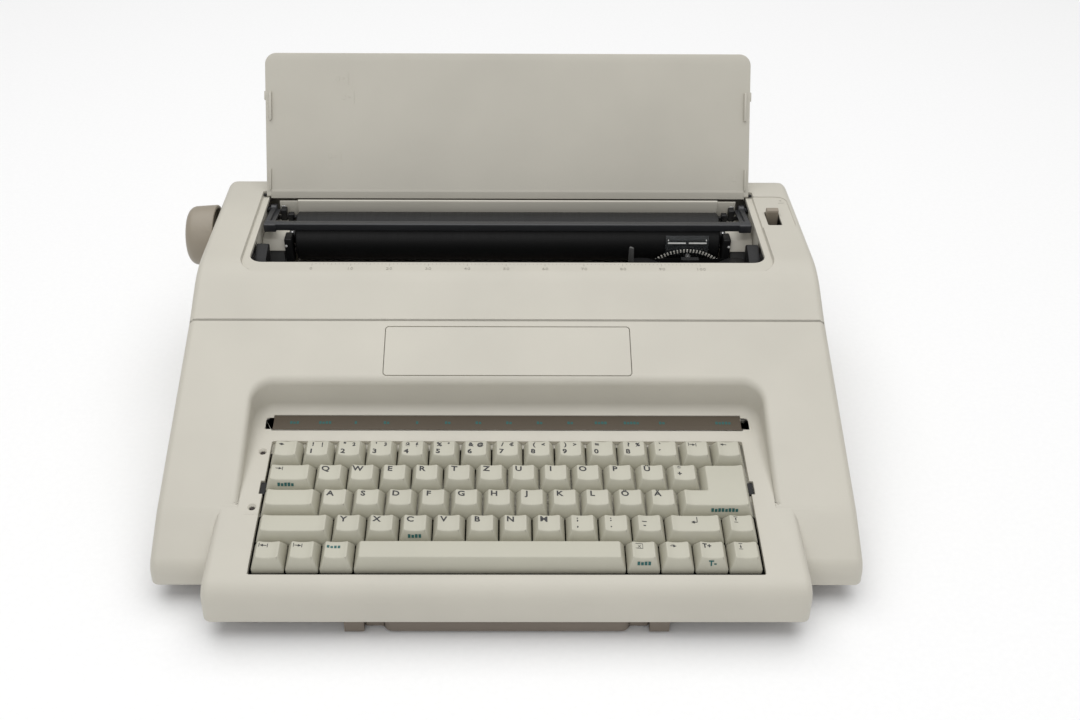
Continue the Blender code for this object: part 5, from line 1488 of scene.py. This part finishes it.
# %% The ribbon cassette
box_low, box_high = workshop_box("ribbon_cassette")
left_x, right_x, base_z, top_z = box_low.x, box_high.x, box_low.z, box_high.z - 4.5
shape = [(left_x, 50, 4), (right_x, 50, 4), (right_x, 84, 2), (WX + 28, 84, 1.5), (WX + 20, 78, 2),
         (WX + 9, 62, 4),
         (WX - 9, 62, 4), (WX - 20, 78, 2), (WX - 28, 84, 1.5), (left_x, 84, 2)]
body = soften(slab(shape, base_z, top_z - 1.0, "z", 4), 0.7, 2, lambda e: True, 60)
lid_shape = [(left_x + 2, 52, 3), (right_x - 2, 52, 3), (right_x - 2, 76, 2), (WX + 24, 76, 2),
             (WX + 12, 59, 3),
             (WX - 12, 59, 3), (WX - 24, 76, 2), (left_x + 2, 76, 2)]
panel = soften(slab(lid_shape, top_z - 1.2, top_z - 0.2, "z", 4), 0.3, 1, lambda e: True, 60)
knob_up = turned([(0, top_z - 0.6), (5.0, top_z - 0.6), (5.0, top_z - 0.1), (4.4, top_z), (0, top_z)],
                 (left_x + 12, 64), "z", 32)
spool_rings = [
    turned([(r, top_z - 0.5), (r + 0.8, top_z - 0.5), (r + 0.8, top_z - 0.05), (r, top_z - 0.05),
            (r, top_z - 0.5)],
           (right_x - 14, 64), "z", 32)
    for r in (5.0, 9.0)
]
finish("cassette", join(body, panel, knob_up, *spool_rings), black_plastic, "carriage",
       ["ribbon_cassette"],
       smooth=40)
ribbon = brick((WX - 31, WX + 31), (84.2, 84.35), (base_z + 1.0, top_z - 2.0), 0)
finish("ribbon", ribbon, black_plastic, "carriage")
fin = slab([(WX - 42.2, top_z - 1.0, 0.4), (WX - 38.5, top_z - 1.0, 0.4), (WX - 38.8, top_z + 11.9, 1.0),
            (WX - 42.0, top_z + 13.1, 1.0)], 74.0, 76.0, "y", 3)
finish("cassette_lever", soften(fin, 0.3, 2, angle=50), grey_plastic, "carriage")

# %% The card guide that hugs the roller
GUIDE_IN = PLATEN_RADIUS + 1.0
guide = bmesh.new()
first = guide.verts.new((WX - 15, cy + GUIDE_IN * cos(radians(148)), cz + GUIDE_IN * sin(radians(148))))
bmesh.ops.spin(guide, geom=[first], cent=(0, cy, cz), axis=(1, 0, 0), angle=radians(46), steps=10,
               use_merge=False)
pull(guide, bmesh.ops.extrude_edge_only(guide, edges=guide.edges[:]), (30, 0, 0))
for k in range(1, 6):
    slice_at(guide, (WX - 15 + 5 * k, 0, 0), (1, 0, 0))
bmesh.ops.recalc_face_normals(guide, faces=guide.faces)
bmesh.ops.solidify(guide, geom=guide.faces[:], thickness=0.7)
bmesh.ops.recalc_face_normals(guide, faces=guide.faces)
finish("card_guide", guide, smoked_clear, "carriage", smooth=40)


def on_roller(angle, radius):
    return (cy + radius * cos(radians(angle)), cz + radius * sin(radians(angle)))


sights = []
for low_x, high_x, angle in ((-13.5, -1.0, 164), (1.0, 13.5, 164), (-13.5, -12.9, 158), (12.9, 13.5, 158)):
    y, z = on_roller(angle, GUIDE_IN + 1.0)
    line = brick((low_x, high_x), (-0.1, 0.1), (-0.5, 0.5), 0)
    sights.append(tilted(line, (WX, y, z), radians(angle - 180)))
finish("sight_lines", join(*sights), white_ink, "carriage")

# %% [markdown]
# ## Underside, handle, feet and the rear sockets
#
# Below the front edge hangs a slim carrying handle between two lugs of the base pan. It is a bar with soft
# edges and rounded ends, and it slides out to be gripped. The rubber feet are turned, and the inlet and the
# rocker switch are small mouldings set into the rear wall.

# %% The handle
handle_low, handle_high = workshop_box("carry_handle")
HANDLE_HALF = handle_high.x
y0, z0, z1 = handle_low.y, handle_low.z, handle_high.z
grip = slab([(-69.5, y0, 5), (69.5, y0, 5), (69.5, y0 + 4, 1), (HANDLE_HALF, y0 + 4, 1),
             (HANDLE_HALF, handle_high.y, 1),
             (HANDLE_HALF - 8, handle_high.y, 1), (HANDLE_HALF - 8, y0 + 9, 2), (-HANDLE_HALF + 8, y0 + 9, 2),
             (-HANDLE_HALF + 8, handle_high.y, 1), (-HANDLE_HALF, handle_high.y, 1),
             (-HANDLE_HALF, y0 + 4, 1),
             (-69.5, y0 + 4, 1)], z0, z1, "z", 5)
soften(grip, 1.4, 3, lambda e: True, 60)
finish("handle", grip, handle_plastic, "carry_handle", ["carry_handle"], smooth=40)

# %% Feet
for name in ("foot_front_left", "foot_front_right", "foot_rear_left", "foot_rear_right"):
    low, high = workshop_box(name)
    x, y, r, top = (low.x + high.x) / 2, (low.y + high.y) / 2, (high.x - low.x) / 2, high.z
    foot = turned([(0, 0.8), (r - 3.4, 0.8), (r - 3.0, 0.0), (r - 1.0, 0.0), (r - 0.3, 0.3), (r, 1.1),
                   (r, top - 2.0),
                   (r - 0.8, top - 1.6), (r - 0.8, top), (0, top)], (x, y), "z", 48)
    finish("rubber_" + name, foot, foot_rubber, "machine", [name], smooth=40)

# %% Pan ribs, screws and lugs under the machine
PAN_FLOOR = HOUSING_BOTTOM - 1.5
ribs = []
for k in range(-8, 9):
    ribs.append(brick((k * 9.0 - 1.6, k * 9.0 + 1.6), (20.0, 96.0), (PAN_FLOOR - 0.5, PAN_FLOOR + 0.3),
                      0.25, 1))
finish("pan_vent_ribs", join(*ribs), handle_plastic, "machine", smooth=40)
screws = []
for x in (-165.0, -60.0, 60.0, 165.0):
    for y in (-128.0, 118.0):
        screws.append(turned([(0, PAN_FLOOR - 1.2), (1.4, PAN_FLOOR - 1.2), (3.4, PAN_FLOOR - 0.9),
                              (4.0, PAN_FLOOR - 0.1),
                              (4.0, PAN_FLOOR + 0.4), (0, PAN_FLOOR + 0.4)], (x, y), "z", 24))
finish("pan_screws", join(*screws), zinc_sheet, "machine", smooth=40)

# %% The rear inlet and the switch
back = HOUSING_BACK
mid_z = (inlet_low.z + inlet_high.z) / 2
mid_x = (inlet_low.x + inlet_high.x) / 2
inlet = brick((inlet_low.x, inlet_high.x), (inlet_low.y, inlet_high.y), (inlet_low.z, inlet_high.z), 0.8, 3)
pocket = plate_of((mid_x - 6.6, mid_x + 6.6), (mid_z - 3.5, mid_z + 3.5), back - 7, back + 5, "y", 3.4, 6)
inlet = cut(inlet, pocket)
finish("mains_inlet", inlet, black_plastic, "machine", ["power_inlet"], smooth=40, ease=0.2)
pins = [rod((mid_x + dx, mid_z), 1.2, back - 7.4, back - 1.6, "y", 16, 0.5) for dx in (-3.3, 3.3)]
finish("inlet_pins", join(*pins), zinc_y, "machine")
sx, sz = (switch_low.x + switch_high.x) / 2, (switch_low.z + switch_high.z) / 2
half_z = (switch_high.z - switch_low.z) / 2
rocker = slab([(switch_low.y, sz - half_z, 0.6), (switch_high.y - 1.2, sz - half_z, 0.6),
               (switch_high.y - 1.6, sz - 1, 3),
               (switch_high.y, sz + half_z, 1.2), (switch_low.y, sz + half_z, 0.6)], switch_low.x,
               switch_high.x, "x", 5)
soften(rocker, 0.4, 2, lambda e: True, 60)
finish("rocker_switch", rocker, black_plastic, "power_switch", ["power_switch"], smooth=40)
face = switch_high.y
dot = turned([(0, face - 2.2), (1.4, face - 2.2), (1.4, face - 0.45), (0, face - 0.4)], (sx, sz + 4.0), "y",
             24)
finish("switch_mark", dot, white_ink, "power_switch")

# %% [markdown]
# ## The works inside
#
# The frames, shafts, gears, motors and boards are already modelled as they work. Their shapes are right, so
# they stay as they are and only get their finishes: drawn zinc, nylon and lacquered board.

# %% Finishes for the frame's own nodes
WORKS = {
    "side_frame_left": zinc_sheet, "side_frame_right": zinc_sheet, "guide_rail": zinc_x,
    "carriage_shaft": zinc_x,
    "platen_shaft": zinc_x, "platen_gear": nylon, "motor_pinion": nylon, "platen_motor": zinc_sheet,
    "carriage_motor": zinc_sheet, "print_hammer": zinc_y, "carriage": black_plastic,
    "drive_belt": foot_rubber,
    "main_board": board_green, "transformer": zinc_sheet, "key_plate": black_plastic,
    "base_pan": handle_plastic,
}
for name, material in WORKS.items():
    item = frame["nodes"][name]
    item.data.materials.clear()
    item.data.materials.append(material)
print(len(WORKS), "works finished")

# %% [markdown]
# ## The floor
#
# The machine stands on a pale sheet. It is a piece of the stage, not of the machine, and it is wide enough
# to fill every view with the same even white.

# %% A pale floor with a little tooth
floor_bm = bmesh.new()
bmesh.ops.create_grid(floor_bm, x_segments=4, y_segments=4, size=6.0)
floor_mesh = bpy.data.meshes.new("floor")
floor_bm.to_mesh(floor_mesh)
floor_bm.free()
floor = bpy.data.objects.new("floor", floor_mesh)
bpy.context.scene.collection.objects.link(floor)
paper = Shade("floor_paper")
tooth = paper.noise(300.0)
paper.finish(paper.mix(tooth, (0.9, 0.9, 0.9, 1.0), (0.94, 0.94, 0.94, 1.0)), 0.9 + (tooth - 0.5) * 0.1)
floor_mesh.materials.append(paper.material)
floor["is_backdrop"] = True
print("floor laid")

# %% Compare the sizes and finish
model_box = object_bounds()
for label, box in (("cad", cad_box), ("model", model_box)):
    print(label, "box", [[round(c, 4) for c in corner] for corner in box])
